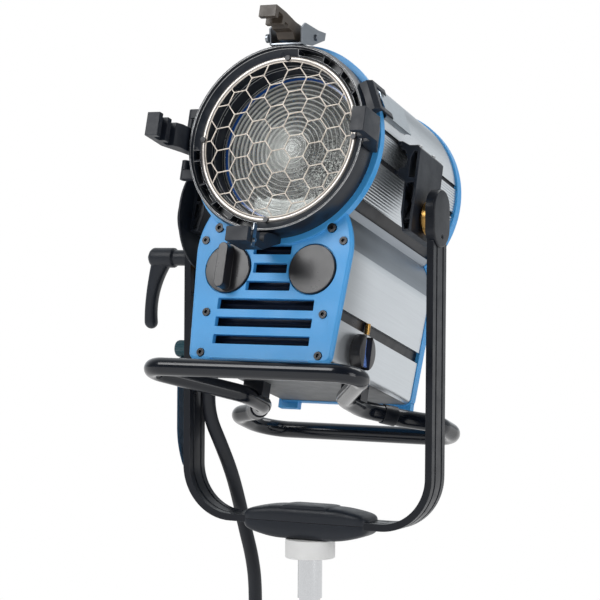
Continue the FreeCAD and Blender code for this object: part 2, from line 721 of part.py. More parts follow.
def body_shell():
    """The round upper extrusion, thickened inside where the two rail slots run."""
    inset = FLANGE_R - SHELL_R
    shell = skin(inset, SHELL_WALL, STRIP_TOP, LENS_AXIS + FLANGE_R)
    tall = RAIL_SLOT / 2 + RAIL_WALL
    block = box(RAIL_BLOCK_IN, SHELL_R + 1, SHELL_FRONT, SHELL_REAR, RAIL_LOW - tall, RAIL_HIGH + tall)
    block = block.common(annulus(RAIL_BLOCK_IN, SHELL_R, SHELL_FRONT, SHELL_REAR))
    shell = fused([shell, block, mirrored(block)])
    for z in (RAIL_LOW, RAIL_HIGH):
        shell = shell.cut(rail_slots(z))
    return shell


def side_panel_right():
    made = skin(PANEL_INSET, PANEL_WALL, STRIP_LOW, PANEL_TOP)
    return made.common(box(0, FLANGE_R, SHELL_FRONT, SHELL_REAR, STRIP_LOW, PANEL_TOP))


def side_panel_left():
    return mirrored(side_panel_right())


def lower_tray():
    """The lower shell: both low side walls and the flat bottom."""
    tray = skin(PANEL_INSET, PANEL_WALL, BOTTOM_Z - 1, TRAY_TOP)
    wall = box(BOTTOM_HALF - 12, BELLY_HALF + 5, SWITCH_Y - 12, SWITCH_Y + 12,
               SWITCH_Z - 9, SWITCH_Z + 9)
    return tray.cut(wall)


def joint_strips():
    """The recessed dark strips between the silver panels, both sides."""
    upper = skin(STRIP_INSET, STRIP_THICK, PANEL_TOP - 4, STRIP_TOP + 4)
    lower = skin(STRIP_INSET, STRIP_THICK, TRAY_TOP - 4, STRIP_LOW + 4)
    return Part.makeCompound(upper.Solids + lower.Solids)


VENTS = [
    (59.0, -115.5, -127.4), (59.0, -136.5, -147.0), (59.0, -156.5, -166.5),
    (27.0, -95.5, -105.7), (20.5, -75.0, -86.0), (23.0, -54.5, -65.0),
]
FRONT_SCREWS = [(69.5, -35.2, 5.0), (85.0, -49.5, 4.4), (71.7, -131.5, 4.4), (72.0, -177.0, 4.4)]


def front_casting():
    """The front plate: a lens ring that stands proud, vents, dial seats and screw seats."""
    plate = housing_block(0, FRONT_Y, SHELL_FRONT)
    rim = [e for e in plate.Edges if abs(e.BoundBox.YMax - FRONT_Y) < 0.01]
    plate = plate.makeChamfer(EDGE_CHAMFER, rim)
    flange = annulus(OPENING_R, FLANGE_R, FLANGE_Y, FRONT_Y + EDGE_CHAMFER + 0.5)
    casting = fused([plate, flange])
    casting = casting.cut(rod_y(OPENING_R, FLANGE_Y - 1, SHELL_FRONT + 1, 0, LENS_AXIS))
    for half, high, low in VENTS:
        casting = casting.cut(box(-half, half, FLANGE_Y - 1, SHELL_FRONT + 1, low, high))
    for x in (-DIAL_X, DIAL_X):
        seat = rod_y(DIAL_R + 1.2, FLANGE_Y - 1, FRONT_Y + 2.5, x, DIAL_Z)
        casting = casting.cut(seat)
    casting = casting.cut(rod_y(SCREW_SPINDLE_R + PIN_GAP, FRONT_Y, SHELL_FRONT + 1, -DIAL_X, DIAL_Z))
    for x, z, radius in FRONT_SCREWS:
        for side in (-1, 1):
            casting = casting.cut(rod_y(radius + 0.2, FLANGE_Y - 1, FRONT_Y + 3, side * x, z))
            casting = casting.cut(rod_y(radius * 0.55 + 0.2, FRONT_Y, SHELL_FRONT + 1, side * x, z))
    notch = box(-60, 60, FRONT_Y - 1, SHELL_FRONT + 1, BOTTOM_Z - 1, BOTTOM_Z + 2.6)
    return casting.cut(notch)


def front_screws():
    screws = []
    for x, z, radius in FRONT_SCREWS:
        for side in (-1, 1):
            screws.append(socket_screw(side * x, FRONT_Y + 3 - radius, z, radius, FRONT_THICK + 2.5))
    return screws


def rear_casting():
    """The rear cover: a dished casting with louvres and two feet below it."""
    block = housing_block(0, SHELL_REAR, REAR_Y)
    rim = [e for e in block.Edges if abs(e.BoundBox.YMin - REAR_Y) < 0.01]
    block = block.makeChamfer(4.0, rim)
    hollow = housing_block(5.0, SHELL_REAR - 1, REAR_Y - 4.5)
    casting = block.cut(hollow)
    for z in range(0, 5):
        high = LENS_AXIS + 52 - z * 24
        half = 66 - 7 * abs(z - 2)
        casting = casting.cut(box(-half, half, REAR_Y - 6, REAR_Y + 1, high - 9, high))
    for z in range(0, 4):
        high = -68 - z * 22
        casting = casting.cut(box(-59, 59, REAR_Y - 6, REAR_Y + 1, high - 9, high))
    foot = box(60, 86, SHELL_REAR + 3, REAR_Y - 3, BOTTOM_Z - 8, BOTTOM_Z + 4)
    return fused([casting, foot, mirrored(foot)])


def rear_screws():
    made = []
    for x, z in ((74, -20), (78, -110), (70, -172), (80, 110)):
        for side in (-1, 1):
            made.append(rod_y(4.4, REAR_Y, REAR_Y + 2.6, side * x, z))
    return made


def casting_screws():
    return Part.makeCompound(front_screws() + rear_screws())


def heat_shield():
    """The sheet between the lamp space and the electrics, slotted for the focus arm."""
    sheet = housing_block(STRIP_INSET + STRIP_THICK, SHIELD_FRONT, SHELL_REAR - 4)
    sheet = sheet.common(box(-FLANGE_R, FLANGE_R, SHELL_FRONT, SHELL_REAR, SHIELD_Z,
                             SHIELD_Z + SHIELD_THICK))
    slot = box(-DIAL_X - 6, -DIAL_X + 6, -48, 92, SHIELD_Z - 1, SHIELD_Z + 5)
    return sheet.cut(slot)


def igniter_box():
    body = box(-15, 74, -20, 96, BOTTOM_Z + STRIP_INSET, -112)
    edges = [e for e in body.Edges if e.BoundBox.XLength < 0.01 and e.BoundBox.YLength < 0.01]
    return body.makeFillet(4.0, edges)


def badge_disc():
    """A plain disc set in the right-hand dial seat."""
    disc = rod_y(DIAL_R, FRONT_Y - DIAL_RISE, FRONT_Y + 2.5, DIAL_X, DIAL_Z)
    rim = [e for e in disc.Edges if abs(e.BoundBox.YMax - (FRONT_Y - DIAL_RISE)) < 0.01]
    return disc.makeFillet(0.8, rim)


def earth_stud():
    """The brass pin that bridges the lower joint strip on the right."""
    x = side_wall_x(STRIP_LOW) - STRIP_INSET + STUD_R + 0.1
    return rod_z(STUD_R, TRAY_TOP, STRIP_LOW, x, STUD_Y)


def side_wall_x(z):
    """Half the housing's width at a height below its belly."""
    share = (BELLY_Z - z) / (BELLY_Z - (BOTTOM_Z + CORNER_R))
    return BELLY_HALF + (BOTTOM_HALF - BELLY_HALF) * share


def switch_place():
    """The x of the wall behind the switch and the x of the rocker's pin."""
    wall_x = side_wall_x(SWITCH_Z) - PANEL_INSET
    return wall_x, wall_x + 4.6


def switch_bezel():
    """The round switch housing with its two guard walls, on the lower right wall."""
    wall_x, pin_x = switch_place()
    ring = rod_x(SWITCH_R, wall_x - 3, wall_x + SWITCH_RISE, SWITCH_Y, SWITCH_Z)
    rim = [e for e in ring.Edges if abs(e.BoundBox.XMin - wall_x - SWITCH_RISE) < 0.01]
    ring = ring.makeFillet(1.5, rim).cut(housing_block(PANEL_INSET, SHELL_FRONT, SHELL_REAR))
    y0, y1 = SWITCH_Y - SWITCH_SLOT, SWITCH_Y + SWITCH_SLOT
    ring = ring.cut(box(wall_x + 3, wall_x + 20, y0, y1, SWITCH_Z - SWITCH_R - 1, SWITCH_Z + SWITCH_R + 1))
    ring = ring.cut(box(wall_x - 5, wall_x + 4, y0, y1, SWITCH_Z - 8, SWITCH_Z + 8))
    return ring.cut(rod_y(ROCKER_PIN_R + PIN_GAP, SWITCH_Y - 11, SWITCH_Y + 11, pin_x, SWITCH_Z))


def switch_rocker():
    """A see-saw rocker between the guard walls, on a pin along Y, resting with its low end out."""
    pin_x = switch_place()[1]
    half = ROCKER_HALF
    outline = [(1.0, -half), (3.6, -half), (2.2, 0), (3.6, half), (1.0, half), (0.0, 7.2),
               (-6.6, 4), (-6.6, -4), (0.0, -7.2)]
    rocker = plate_y([(pin_x + x, SWITCH_Z + z) for x, z in outline],
                     SWITCH_Y - SWITCH_SLOT + RUN_GAP, SWITCH_Y + SWITCH_SLOT - RUN_GAP)
    rocker = fused([rocker, rod_y(ROCKER_PIN_R, SWITCH_Y - 10, SWITCH_Y + 10, pin_x, SWITCH_Z)])
    rocker.rotate(V(pin_x, 0, SWITCH_Z), V(0, 1, 0), -ROCKER_TURN / 2)
    return rocker


# ---------------------------------------------------------------- skid frame
def tube_z(y):
    return TUBE_FRONT_Z + TUBE_SLOPE * (y - TUBE_FRONT_Y)


# Corners of the right half of the loop, from the front bar to the rear bar: x, y, bend radius.
SKID_CORNERS = [
    (143.5, TUBE_FRONT_Y, 21.0), (62.0, 12.0, 38.0), (62.0, 60.0, 34.0),
    (95.0, 99.0, 34.0), (130.0, 120.0, 26.0), (130.0, 192.0, 36.0),
]
SLEEVE_SHARE = 0.66


def sleeve_point():
    """Where front and rear tube meet, on the straight run behind the waist."""
    ax, ay, _ = SKID_CORNERS[2]
    bx, by, _ = SKID_CORNERS[3]
    x = ax + (bx - ax) * SLEEVE_SHARE
    y = ay + (by - ay) * SLEEVE_SHARE
    return x, y, tube_z(y)


def skid_tube(corners):
    """A tube through the corners of one half and their mirror images."""
    end = sleeve_point()
    half = [(x, y, tube_z(y)) for x, y, _ in corners]
    bends = [r for _, _, r in corners]
    points = [end] + half + [(-x, y, z) for x, y, z in half[::-1]] + [(-end[0], end[1], end[2])]
    return tube(points, [0] + bends + bends[::-1] + [0], TUBE_R)


def skid_front():
    return skid_tube(SKID_CORNERS[2::-1])


def skid_rear():
    return skid_tube(SKID_CORNERS[3:])


def skid_sleeves():
    """The rings that cover the joints between the front and the rear tube."""
    x, y, z = sleeve_point()
    along = V(SKID_CORNERS[3][0] - SKID_CORNERS[2][0], SKID_CORNERS[3][1] - SKID_CORNERS[2][1], 0)
    along.z = TUBE_SLOPE * along.y
    along.normalize()
    start = V(x, y, z) - along * SLEEVE_LENGTH / 2
    ring = Part.makeCylinder(SLEEVE_R, SLEEVE_LENGTH, start, along)
    bore = Part.makeCylinder(TUBE_R + SEAT_GAP, SLEEVE_LENGTH, start, along)
    return pair(ring.cut(bore)).Solids


def skid_clamps():
    """The saddles between the skid frame and the tray; each covers the tube's upper half."""
    x = SKID_CORNERS[1][0]
    low = tube_z(CLAMP_Y) + CLAMP_WALL
    block = box(x - CLAMP_HALF, x + CLAMP_HALF, CLAMP_Y - CLAMP_LENGTH / 2, CLAMP_Y + CLAMP_LENGTH / 2,
                low, BOTTOM_Z + PANEL_INSET)
    start = V(x, CLAMP_Y - 20, tube_z(CLAMP_Y - 20))
    along = V(0, 1, TUBE_SLOPE)
    bore = Part.makeCylinder(TUBE_R + SEAT_GAP, 40 * along.Length, start, along.normalize())
    return pair(block.cut(bore)).Solids


def skid_fittings():
    return Part.makeCompound(skid_sleeves() + skid_clamps())


# ---------------------------------------------------------------- lens door
def ahead(depth):
    """The y of a plane that lies this far in front of the door's rear face."""
    return DOOR_Y - depth


def door_ring():
    """The lens ring: a drum for the lens behind, a rim in front, ribbed pockets in two quadrants."""
    shape = turned([
        (LENS_R + LENS_GAP, ahead(CELL_REAR)), (CELL_R, ahead(CELL_REAR)), (CELL_R, ahead(0)),
        (RING_R, ahead(0)), (RING_R, ahead(20.5)),
        (RING_LIP_R, ahead(RING_DEPTH)), (RING_LIP_R - 2, ahead(RING_DEPTH)),
        (RING_LIP_R - 3, ahead(22)), (GUARD_OUT, ahead(GUARD_DEPTH)),
        (MOUTH_R, ahead(GUARD_DEPTH)), (MOUTH_R, ahead(MOUTH_DEPTH)), (BORE_R, ahead(MOUTH_DEPTH)),
        (BORE_R, ahead(SEAT_DEPTH + SEAT_THICK)),
        (SEAT_LIP, ahead(SEAT_DEPTH + SEAT_THICK)), (SEAT_LIP, ahead(SEAT_DEPTH)),
        (LENS_R + LENS_GAP, ahead(SEAT_DEPTH)),
    ])
    pocket = annulus(POCKET_IN, POCKET_OUT, ahead(RING_DEPTH + 1), ahead(POCKET_FLOOR))
    for turn in (0, 180):
        wedge = about_lens(quadrant(), turn)
        ribs = [about_lens(rib(), turn + a) for a in (14, 31, 47, 64)]
        shape = shape.cut(pocket.common(wedge).cut(ribs[0].multiFuse(ribs[1:])))
    flat = box(-BRACKET_HALF - 1, BRACKET_HALF + 1, ahead(RING_DEPTH + 1), ahead(-1),
               BRACKET_BASE, LENS_AXIS + RING_R + 1)
    shape = shape.cut(flat)
    for turn in (0, 90, 180, 270):
        hole = rod_y(1.6, ahead(GUARD_DEPTH + 1), ahead(GUARD_DEPTH - 7), (GUARD_IN + GUARD_OUT) / 2,
                     LENS_AXIS)
        shape = shape.cut(about_lens(hole, turn))
    return shape


def quadrant():
    """The space between 7 and 83 degrees round the lens axis."""
    reach = 2 * RING_R
    points = [(0, 0)]
    for degrees in (7, 45, 83):
        a = math.radians(degrees)
        points.append((reach * math.cos(a), reach * math.sin(a)))
    return plate_y([(x, z + LENS_AXIS) for x, z in points], ahead(RING_DEPTH + 2), ahead(0))


def rib():
    return box(0, RING_R, ahead(RING_DEPTH - 4), ahead(0), LENS_AXIS - 1, LENS_AXIS + 1)


def fresnel_lens():
    """A flat-backed lens whose front is cut into saw-tooth steps round a small dome."""
    back = ahead(SEAT_DEPTH - LENS_EDGE)
    rim = LENS_R - LENS_RIM
    points = [(0, back), (LENS_R, back), (LENS_R, ahead(SEAT_DEPTH)), (rim, ahead(SEAT_DEPTH))]
    step = (rim - 1 - DOME_R) / LENS_STEPS
    for i in range(LENS_STEPS):
        outer = rim - 1 - i * step
        points.append((outer, ahead(SEAT_DEPTH - 2.4)))
        points.append((outer - step + 0.4, ahead(SEAT_DEPTH + 0.6)))
    dome = [(14, 1.2), (9, 2.0), (4, 2.5), (0, 2.6)]
    points += [(r, ahead(SEAT_DEPTH + h)) for r, h in dome]
    wire = Part.makePolygon([V(r, y, LENS_AXIS) for r, y in points + points[:1]])
    return Part.Face(wire).revolve(V(0, 0, LENS_AXIS), V(0, 1, 0), 360)


def lens_retainer():
    return annulus(LENS_R - RETAINER_WIDTH, LENS_R, ahead(SEAT_DEPTH - LENS_EDGE), ahead(CELL_REAR))


def guard_ring():
    ring = annulus(GUARD_IN, GUARD_OUT, ahead(GUARD_DEPTH + GUARD_THICK), ahead(GUARD_DEPTH))
    for turn in (0, 90, 180, 270):
        hole = rod_y(1.7, ahead(GUARD_DEPTH + 3), ahead(GUARD_DEPTH - 1), (GUARD_IN + GUARD_OUT) / 2,
                     LENS_AXIS)
        ring = ring.cut(about_lens(hole, turn))
    return ring


def guard_screws():
    screws = []
    for turn in (0, 90, 180, 270):
        x = (GUARD_IN + GUARD_OUT) / 2
        shank = rod_y(1.5, ahead(GUARD_DEPTH + GUARD_THICK), ahead(GUARD_DEPTH - 6), x, LENS_AXIS)
        head = rod_y(3.0, ahead(GUARD_DEPTH + GUARD_THICK + 2.2), ahead(GUARD_DEPTH + GUARD_THICK),
                     x, LENS_AXIS)
        screws.append(about_lens(shank.fuse(head), turn))
    return Part.makeCompound(screws)


def hexagon_centres():
    """The middles of the six-sided openings: columns set half a row apart, turned about the lens axis."""
    column = 1.5 * MESH_SIDE
    row = math.sqrt(3) * MESH_SIDE
    turn = math.radians(MESH_TURN)
    count = int(GUARD_IN / column) + 1
    centres = []
    for i in range(-count, count + 1):
        for j in range(-count - 1, count + 1):
            x = i * column
            z = (j + (i % 2) / 2) * row
            centres.append((x * math.cos(turn) - z * math.sin(turn),
                            x * math.sin(turn) + z * math.cos(turn)))
    return centres


def guard_mesh():
    """A round sheet cut into regular hexagons, one of them round the lens axis."""
    y0 = ahead(GUARD_DEPTH + MESH_THICK)
    y1 = ahead(GUARD_DEPTH)
    rim = GUARD_IN - MESH_WIRE
    reach = MESH_SIDE - MESH_WIRE / math.sqrt(3)
    field = annulus(0.01, rim, y0 - 1, y1 + 1)
    holes = []
    for cx, cz in hexagon_centres():
        if math.hypot(cx, cz) > rim + MESH_SIDE / 2:
            continue
        angles = [math.radians(MESH_TURN + 60 * i) for i in range(6)]
        points = [(cx + reach * math.cos(a), LENS_AXIS + cz + reach * math.sin(a)) for a in angles]
        hole = plate_y(points, y0 - 1, y1 + 1)
        if math.hypot(cx, cz) > rim - MESH_SIDE:
            hole = hole.common(field)
        holes.append(hole)
    return annulus(0.01, GUARD_IN, y0, y1).cut(Part.makeCompound(holes))


def claw():
    """An accessory claw at the right: a comb with two grooves whose lip reaches furthest forward."""
    seat = RING_R + SEAT_GAP
    points = [
        (seat, ahead(4.5)), (seat, ahead(20)), (seat + 3, ahead(36)), (CLAW_LIP_R, ahead(43)),
        (CLAW_GROOVE_R, ahead(43)), (CLAW_GROOVE_R, ahead(53)), (CLAW_LIP_R, ahead(53)),
        (CLAW_LIP_R, ahead(61)), (CLAW_GROOVE_R, ahead(61)), (CLAW_GROOVE_R, ahead(72)),
        (CLAW_LIP_R, ahead(72)), (CLAW_LIP_R, ahead(79.5)), (CLAW_R, ahead(79.5)),
        (CLAW_R, ahead(42)), (CLAW_R - 12, ahead(17)), (CLAW_R - 17, ahead(4.5)),
    ]
    z0 = LENS_AXIS - CLAW_WIDTH / 2
    wire = Part.makePolygon([V(r, y, z0) for r, y in points + points[:1]])
    solid = Part.Face(wire).extrude(V(0, 0, CLAW_WIDTH))
    barrel = annulus(0.01, RING_R + SEAT_GAP, ahead(79.5), ahead(0))
    return solid.cut(barrel)


def accessory_claws():
    return Part.makeCompound([about_lens(claw(), turn) for turn in (0, 180, 270)])


def claw_spring():
    """The steel leaf and its screw on the flank of the lower claw."""
    side = CLAW_WIDTH / 2
    leaf = box(side, side + 1.2, ahead(70), ahead(63), LENS_AXIS - CLAW_R - 3, LENS_AXIS - CLAW_LIP_R + 6)
    screw = rod_x(2.4, side + 1.2, side + 3.2, ahead(66.5), LENS_AXIS - CLAW_R + 4)
    return fused([leaf, screw])


def latch_bracket():
    """The sheet-steel U on the ring that carries the hinged claw, its headed pin and a side screw."""
    base = box(-BRACKET_HALF, BRACKET_HALF, ahead(RING_DEPTH + 2.5), ahead(4), BRACKET_BASE,
               BRACKET_BASE + BRACKET_SHEET)
    low = BRACKET_BASE
    ear = plate_x([
        (ahead(RING_DEPTH + 2.5), low), (ahead(35.2), low + 17), (ahead(28), low + 25),
        (LATCH_PIN_Y + 2.3, low + 28), (LATCH_PIN_Y + 21, low + 31.7), (LATCH_PIN_Y + 20.5, low + 22.7),
        (ahead(4), low + 7),
    ], BRACKET_HALF - BRACKET_SHEET, BRACKET_HALF)
    shape = fused([base, ear, mirrored(ear)])
    shape = shape.cut(rod_x(LATCH_PIN_R + SEAT_GAP, -BRACKET_HALF - 1, BRACKET_HALF + 1,
                            LATCH_PIN_Y, LATCH_PIN_Z))
    return Part.makeCompound([shape] + latch_pin())


def latch_pin():
    """The headed hinge pin of the top claw and the screw on the left ear."""
    pin = rod_x(LATCH_PIN_R, -BRACKET_HALF - 1.5, BRACKET_HALF, LATCH_PIN_Y, LATCH_PIN_Z)
    head = rod_x(LATCH_PIN_R + 1.6, BRACKET_HALF, BRACKET_HALF + 2, LATCH_PIN_Y, LATCH_PIN_Z)
    screw = rod_x(5.0, -BRACKET_HALF - 3.2, -BRACKET_HALF, ahead(31), BRACKET_BASE + 7)
    return [pin.fuse(head), screw]


# The hinged claw's outline from its pin: y, z.
TOP_CLAW = [
    (-81, 8), (-81, -5.5), (-74, -5.5), (-74, 2), (-64, 2), (-64, -8), (-58, -8), (-58, -3.5),
    (-50, -3.5), (-48, -7), (-38, -7), (-32, -13.5), (-12, -12.5), (0, -7), (6, -4), (6, 5), (-10, 7),
    (-34, 6), (-57, 8),
]


def top_claw():
    """The hinged claw: a comb like its fellows' on an arm that turns about the pin."""
    half = TOP_CLAW_WIDTH / 2
    arm = plate_x([(LATCH_PIN_Y + y, LATCH_PIN_Z + z) for y, z in TOP_CLAW], -half, half)
    reach = BRACKET_HALF - BRACKET_SHEET - RUN_GAP
    hub = rod_x(7.0, -reach, reach, LATCH_PIN_Y, LATCH_PIN_Z)
    return fused([arm, hub]).cut(rod_x(LATCH_PIN_R + PIN_GAP, -BRACKET_HALF, BRACKET_HALF,
                                       LATCH_PIN_Y, LATCH_PIN_Z))


# ---------------------------------------------------------------- door hinge and latch
def knuckle(z0, z1, radius=HINGE_R):
    return rod_z(radius, z0, z1, HINGE_X, HINGE_Y)


def hinge_span(up, first, last):
    """The z range of a knuckle, counted in knuckle heights from the lens axis, above or below it."""
    ends = [LENS_AXIS + up * (KNUCKLE_LOW + n * KNUCKLE_HEIGHT) for n in (first, last)]
    return min(ends), max(ends)


def hinge_leaves():
    """The door's two hinge knuckles, with arms to the ring; they stand outside the housing's pair."""
    shapes = []
    for up in (-1, 1):
        z0, z1 = hinge_span(up, 1, 2)
        z0, z1 = z0 + up * RUN_GAP, z1 + up * RUN_GAP
        arm = box(HINGE_X, -RING_R + 15, HINGE_Y - HINGE_R, DOOR_Y - 0.1, z0, z1)
        arm = arm.cut(annulus(0.01, RING_R + SEAT_GAP, ahead(30), ahead(-5)))
        leaf = fused([knuckle(z0, z1), arm])
        shapes.append(leaf.cut(knuckle(z0 - 1, z1 + 1, HINGE_PIN_R + PIN_GAP)))
    return Part.makeCompound(shapes)


def hinge_blocks():
    """The housing's two hinge knuckles, on arms from the front casting's edge, and their pins."""
    shapes = []
    for up in (-1, 1):
        z0, z1 = hinge_span(up, 0, 1)
        arm = box(HINGE_X, -FLANGE_R + 14, FLANGE_Y + 0.4, SHELL_FRONT, z0, z1)
        arm = arm.cut(annulus(0.01, FLANGE_R + SEAT_GAP, FLANGE_Y - 2, SHELL_FRONT + 2))
        leaf = fused([knuckle(z0, z1), arm])
        shapes.append(leaf.cut(knuckle(z0 - 1, z1 + 1, HINGE_PIN_R + SEAT_GAP)))
        p0, p1 = hinge_span(up, 0.1, 2.1)
        shapes.append(knuckle(p0, p1, HINGE_PIN_R))
    return shapes


def at_latch(shape):
    return about_lens(shape, DOOR_LATCH_ANGLE)


def plate_z(points, z0, z1):
    """A prism between z0 and z1, counted from the lens axis, over a closed outline of (x, y) points."""
    low = LENS_AXIS + z0
    wire = Part.makePolygon([V(x, y, low) for x, y in points + points[:1]])
    return Part.Face(wire).extrude(V(0, 0, z1 - z0))


def door_fork():
    """The fork on the ring whose two arms reach back over the latch plate."""
    base = plate_z([(RING_R - 8, ahead(20.5)), (FORK_OUT - 5, ahead(20.5)), (FORK_OUT, ahead(15)),
                    (FORK_OUT, ahead(8.5)), (RING_R - 8, ahead(8.5))], -FORK_HALF, FORK_HALF)
    base = base.cut(annulus(0.01, RING_R + SEAT_GAP, ahead(30), ahead(0)))
    outline = [(FORK_IN, ahead(12)), (FORK_OUT, ahead(12)), (FORK_OUT, FORK_REAR - 4),
               (FORK_OUT - 1.5, FORK_REAR), (FORK_IN, FORK_REAR)]
    arms = [plate_z(outline, z, z + FORK_ARM) for z in (-FORK_HALF, FORK_HALF - FORK_ARM)]
    return at_latch(fused([base] + arms))


def latch_plate():
    """The sheet channel that slides along the housing to free or hold the fork."""
    outside = LATCH_R + LATCH_SHEET
    top = plate_z([(LATCH_R, LATCH_FRONT), (outside, LATCH_FRONT), (outside, LATCH_REAR),
                   (LATCH_R, LATCH_REAR)], -LATCH_HALF, LATCH_HALF)
    foot = SHELL_R - 0.5
    flank = [(outside, LATCH_FRONT + 2), (foot, LATCH_FRONT + 4), (foot, LATCH_REAR - 12),
             (outside, LATCH_REAR)]
    sides = [plate_z(flank, z, z + LATCH_SHEET) for z in (-LATCH_HALF, LATCH_HALF - LATCH_SHEET)]
    return at_latch(fused([top] + sides))


def latch_rail():
    """The low rail on the housing that the latch plate rides on."""
    half = LATCH_HALF - LATCH_SHEET - RUN_GAP
    rail = plate_z([(SHELL_R - 4, LATCH_FRONT + 16), (SHELL_R + LATCH_RAIL, LATCH_FRONT + 16),
                    (SHELL_R + LATCH_RAIL, LATCH_REAR - 4), (SHELL_R - 4, LATCH_REAR - 4)], -half, half)
    return at_latch(rail.cut(annulus(0.01, SHELL_R, LATCH_FRONT, LATCH_REAR)))


def door_fittings():
    """What the housing carries for its door: hinge blocks, hinge pins and the latch's rail."""
    return Part.makeCompound(hinge_blocks() + [latch_rail()])


# ---------------------------------------------------------------- focus drive and lamp
def focus_knob():
    """The focus knob: a flat disc with a grip bar across it, and its long threaded spindle."""
    x, z = -DIAL_X, DIAL_Z
    disc = rod_y(DIAL_R, FRONT_Y - DIAL_RISE, FRONT_Y + 2.2, x, z)
    rim = [e for e in disc.Edges if abs(e.BoundBox.YMax - (FRONT_Y - DIAL_RISE)) < 0.01]
    disc = disc.makeFillet(0.8, rim)
    face = FRONT_Y - DIAL_RISE
    reach = DIAL_R - 2.3 - KNOB_BAR_HALF
    grip = box(x - KNOB_BAR_HALF, x + KNOB_BAR_HALF, face - KNOB_BAR_RISE, face, z - reach, z + reach)
    ends = [rod_y(KNOB_BAR_HALF, face - KNOB_BAR_RISE, face, x, z + s * reach) for s in (-1, 1)]
    spindle = rod_y(SCREW_SPINDLE_R, FRONT_Y + 2, SPINDLE_END, x, z)
    return fused([disc, grip] + ends + [spindle])


def lamp_carriage():
    """The sliding plate on the guide rods, with the nut arm of the focus drive and a mirror post."""
    low = ROD_Z - CARRIAGE_THICK / 2
    top = ROD_Z + CARRIAGE_THICK / 2
    plate = box(-DIAL_X - 6, ROD_X + 12, CARRIAGE_FRONT, CARRIAGE_REAR, low, top)
    arm = box(-DIAL_X - 4, -DIAL_X + 4, LAMP_Y - 4, LAMP_Y + 12, DIAL_Z, ROD_Z)
    nut = box(-DIAL_X - 8, -DIAL_X + 8, LAMP_Y - 4, LAMP_Y + 12, DIAL_Z - 8, DIAL_Z + 8)
    post = box(-8, 8, CARRIAGE_REAR - 6, CARRIAGE_REAR, ROD_Z, LENS_AXIS + 2)
    post = post.cut(Part.makeSphere(MIRROR_R + MIRROR_SHEET, V(0, LAMP_Y, LENS_AXIS)))
    shape = fused([plate, arm, nut, post])
    for x in (-ROD_X, ROD_X):
        shape = shape.cut(rod_y(ROD_R + PIN_GAP, CARRIAGE_FRONT - 1, CARRIAGE_REAR + 1, x, ROD_Z))
    return shape.cut(rod_y(SCREW_SPINDLE_R + PIN_GAP, 10, 40, -DIAL_X, DIAL_Z))


def lamp_socket():
    low = ROD_Z + CARRIAGE_THICK / 2
    base = rod_z(SOCKET_R, low, low + SOCKET_HEIGHT, 0, LAMP_Y)
    edges = [e for e in base.Edges if abs(e.BoundBox.ZMin - low - SOCKET_HEIGHT) < 0.01]
    return base.makeFillet(2.0, edges)


def lamp():
    """The discharge lamp: a glass tube with a domed top."""
    low = ROD_Z + CARRIAGE_THICK / 2 + SOCKET_HEIGHT
    body = rod_z(LAMP_R, low, LENS_AXIS + 34, 0, LAMP_Y)
    dome = Part.makeSphere(LAMP_R, V(0, LAMP_Y, LENS_AXIS + 34))
    return fused([body, dome])


def mirror():
    """A dished spun mirror behind the lamp, centred on the arc."""
    apex = math.radians(60)
    wires = []
    for radius in (MIRROR_R, MIRROR_R + MIRROR_SHEET):
        points = [V(radius * math.sin(a), LAMP_Y + radius * math.cos(a), LENS_AXIS)
                  for a in (0, apex / 2, apex)]
        wires.append((Part.Arc(*points).toShape(), points))
    inner, outer = wires
    rim = Part.LineSegment(inner[1][2], outer[1][2]).toShape()
    centre = Part.LineSegment(outer[1][0], inner[1][0]).toShape()
    wire = Part.Wire(Part.__sortEdges__([inner[0], rim, outer[0], centre]))
    return Part.Face(wire).revolve(V(0, 0, LENS_AXIS), V(0, 1, 0), 360)


def lamp_rails():
    """The two guide rods, the plates that carry them, and the hanger of the spindle's far end."""
    shapes = pair(rod_y(ROD_R, ROD_FRONT, ROD_REAR, ROD_X, ROD_Z)).Solids
    for y0 in (ROD_FRONT, ROD_REAR - BRACKET_THICK):
        plate = box(-ROD_X - 9, ROD_X + 9, y0, y0 + BRACKET_THICK, SHIELD_Z + SHIELD_THICK, ROD_Z + 8)
        for x in (-ROD_X, ROD_X):
            plate = plate.cut(rod_y(ROD_R + SEAT_GAP, y0 - 1, y0 + BRACKET_THICK + 1, x, ROD_Z))
        shapes.append(plate)
    hanger = box(-DIAL_X - 8, -DIAL_X + 8, SPINDLE_END - 10, SPINDLE_END - 2, DIAL_Z - 8, SHIELD_Z)
    shapes.append(hanger.cut(rod_y(SCREW_SPINDLE_R + PIN_GAP, SPINDLE_END - 11, SPINDLE_END, -DIAL_X,
                                   DIAL_Z)))
    return Part.makeCompound(shapes)


# ---------------------------------------------------------------- head cable
def cable_entry():
    """The box on the left wall that the cable leaves from, pointing down."""
    z0, z1 = GLAND_Z, GLAND_Z + ENTRY_HEIGHT
    wall = -BELLY_HALF + 9
    block = box(GLAND_X - ENTRY_HALF, wall, GLAND_Y - ENTRY_HALF, GLAND_Y + ENTRY_HALF, z0, z1)
    edges = [e for e in block.Edges if e.BoundBox.XLength < 0.01 and e.BoundBox.YLength < 0.01
             and e.BoundBox.XMax < GLAND_X]
    block = block.makeFillet(6.0, edges)
    block = block.cut(housing_block(PANEL_INSET, SHELL_FRONT, SHELL_REAR))
    return Part.makeCompound([block, gland_nut()])


def gland_nut():
    """The hexagonal nut under the entry box."""
    angles = [math.radians(60 * i) for i in range(6)]
    points = [V(GLAND_X + NUT_R * math.cos(a), GLAND_Y + NUT_R * math.sin(a), GLAND_Z - NUT_HEIGHT)
              for a in angles]
    wire = Part.makePolygon(points + points[:1])
    return Part.Face(wire).extrude(V(0, 0, NUT_HEIGHT))


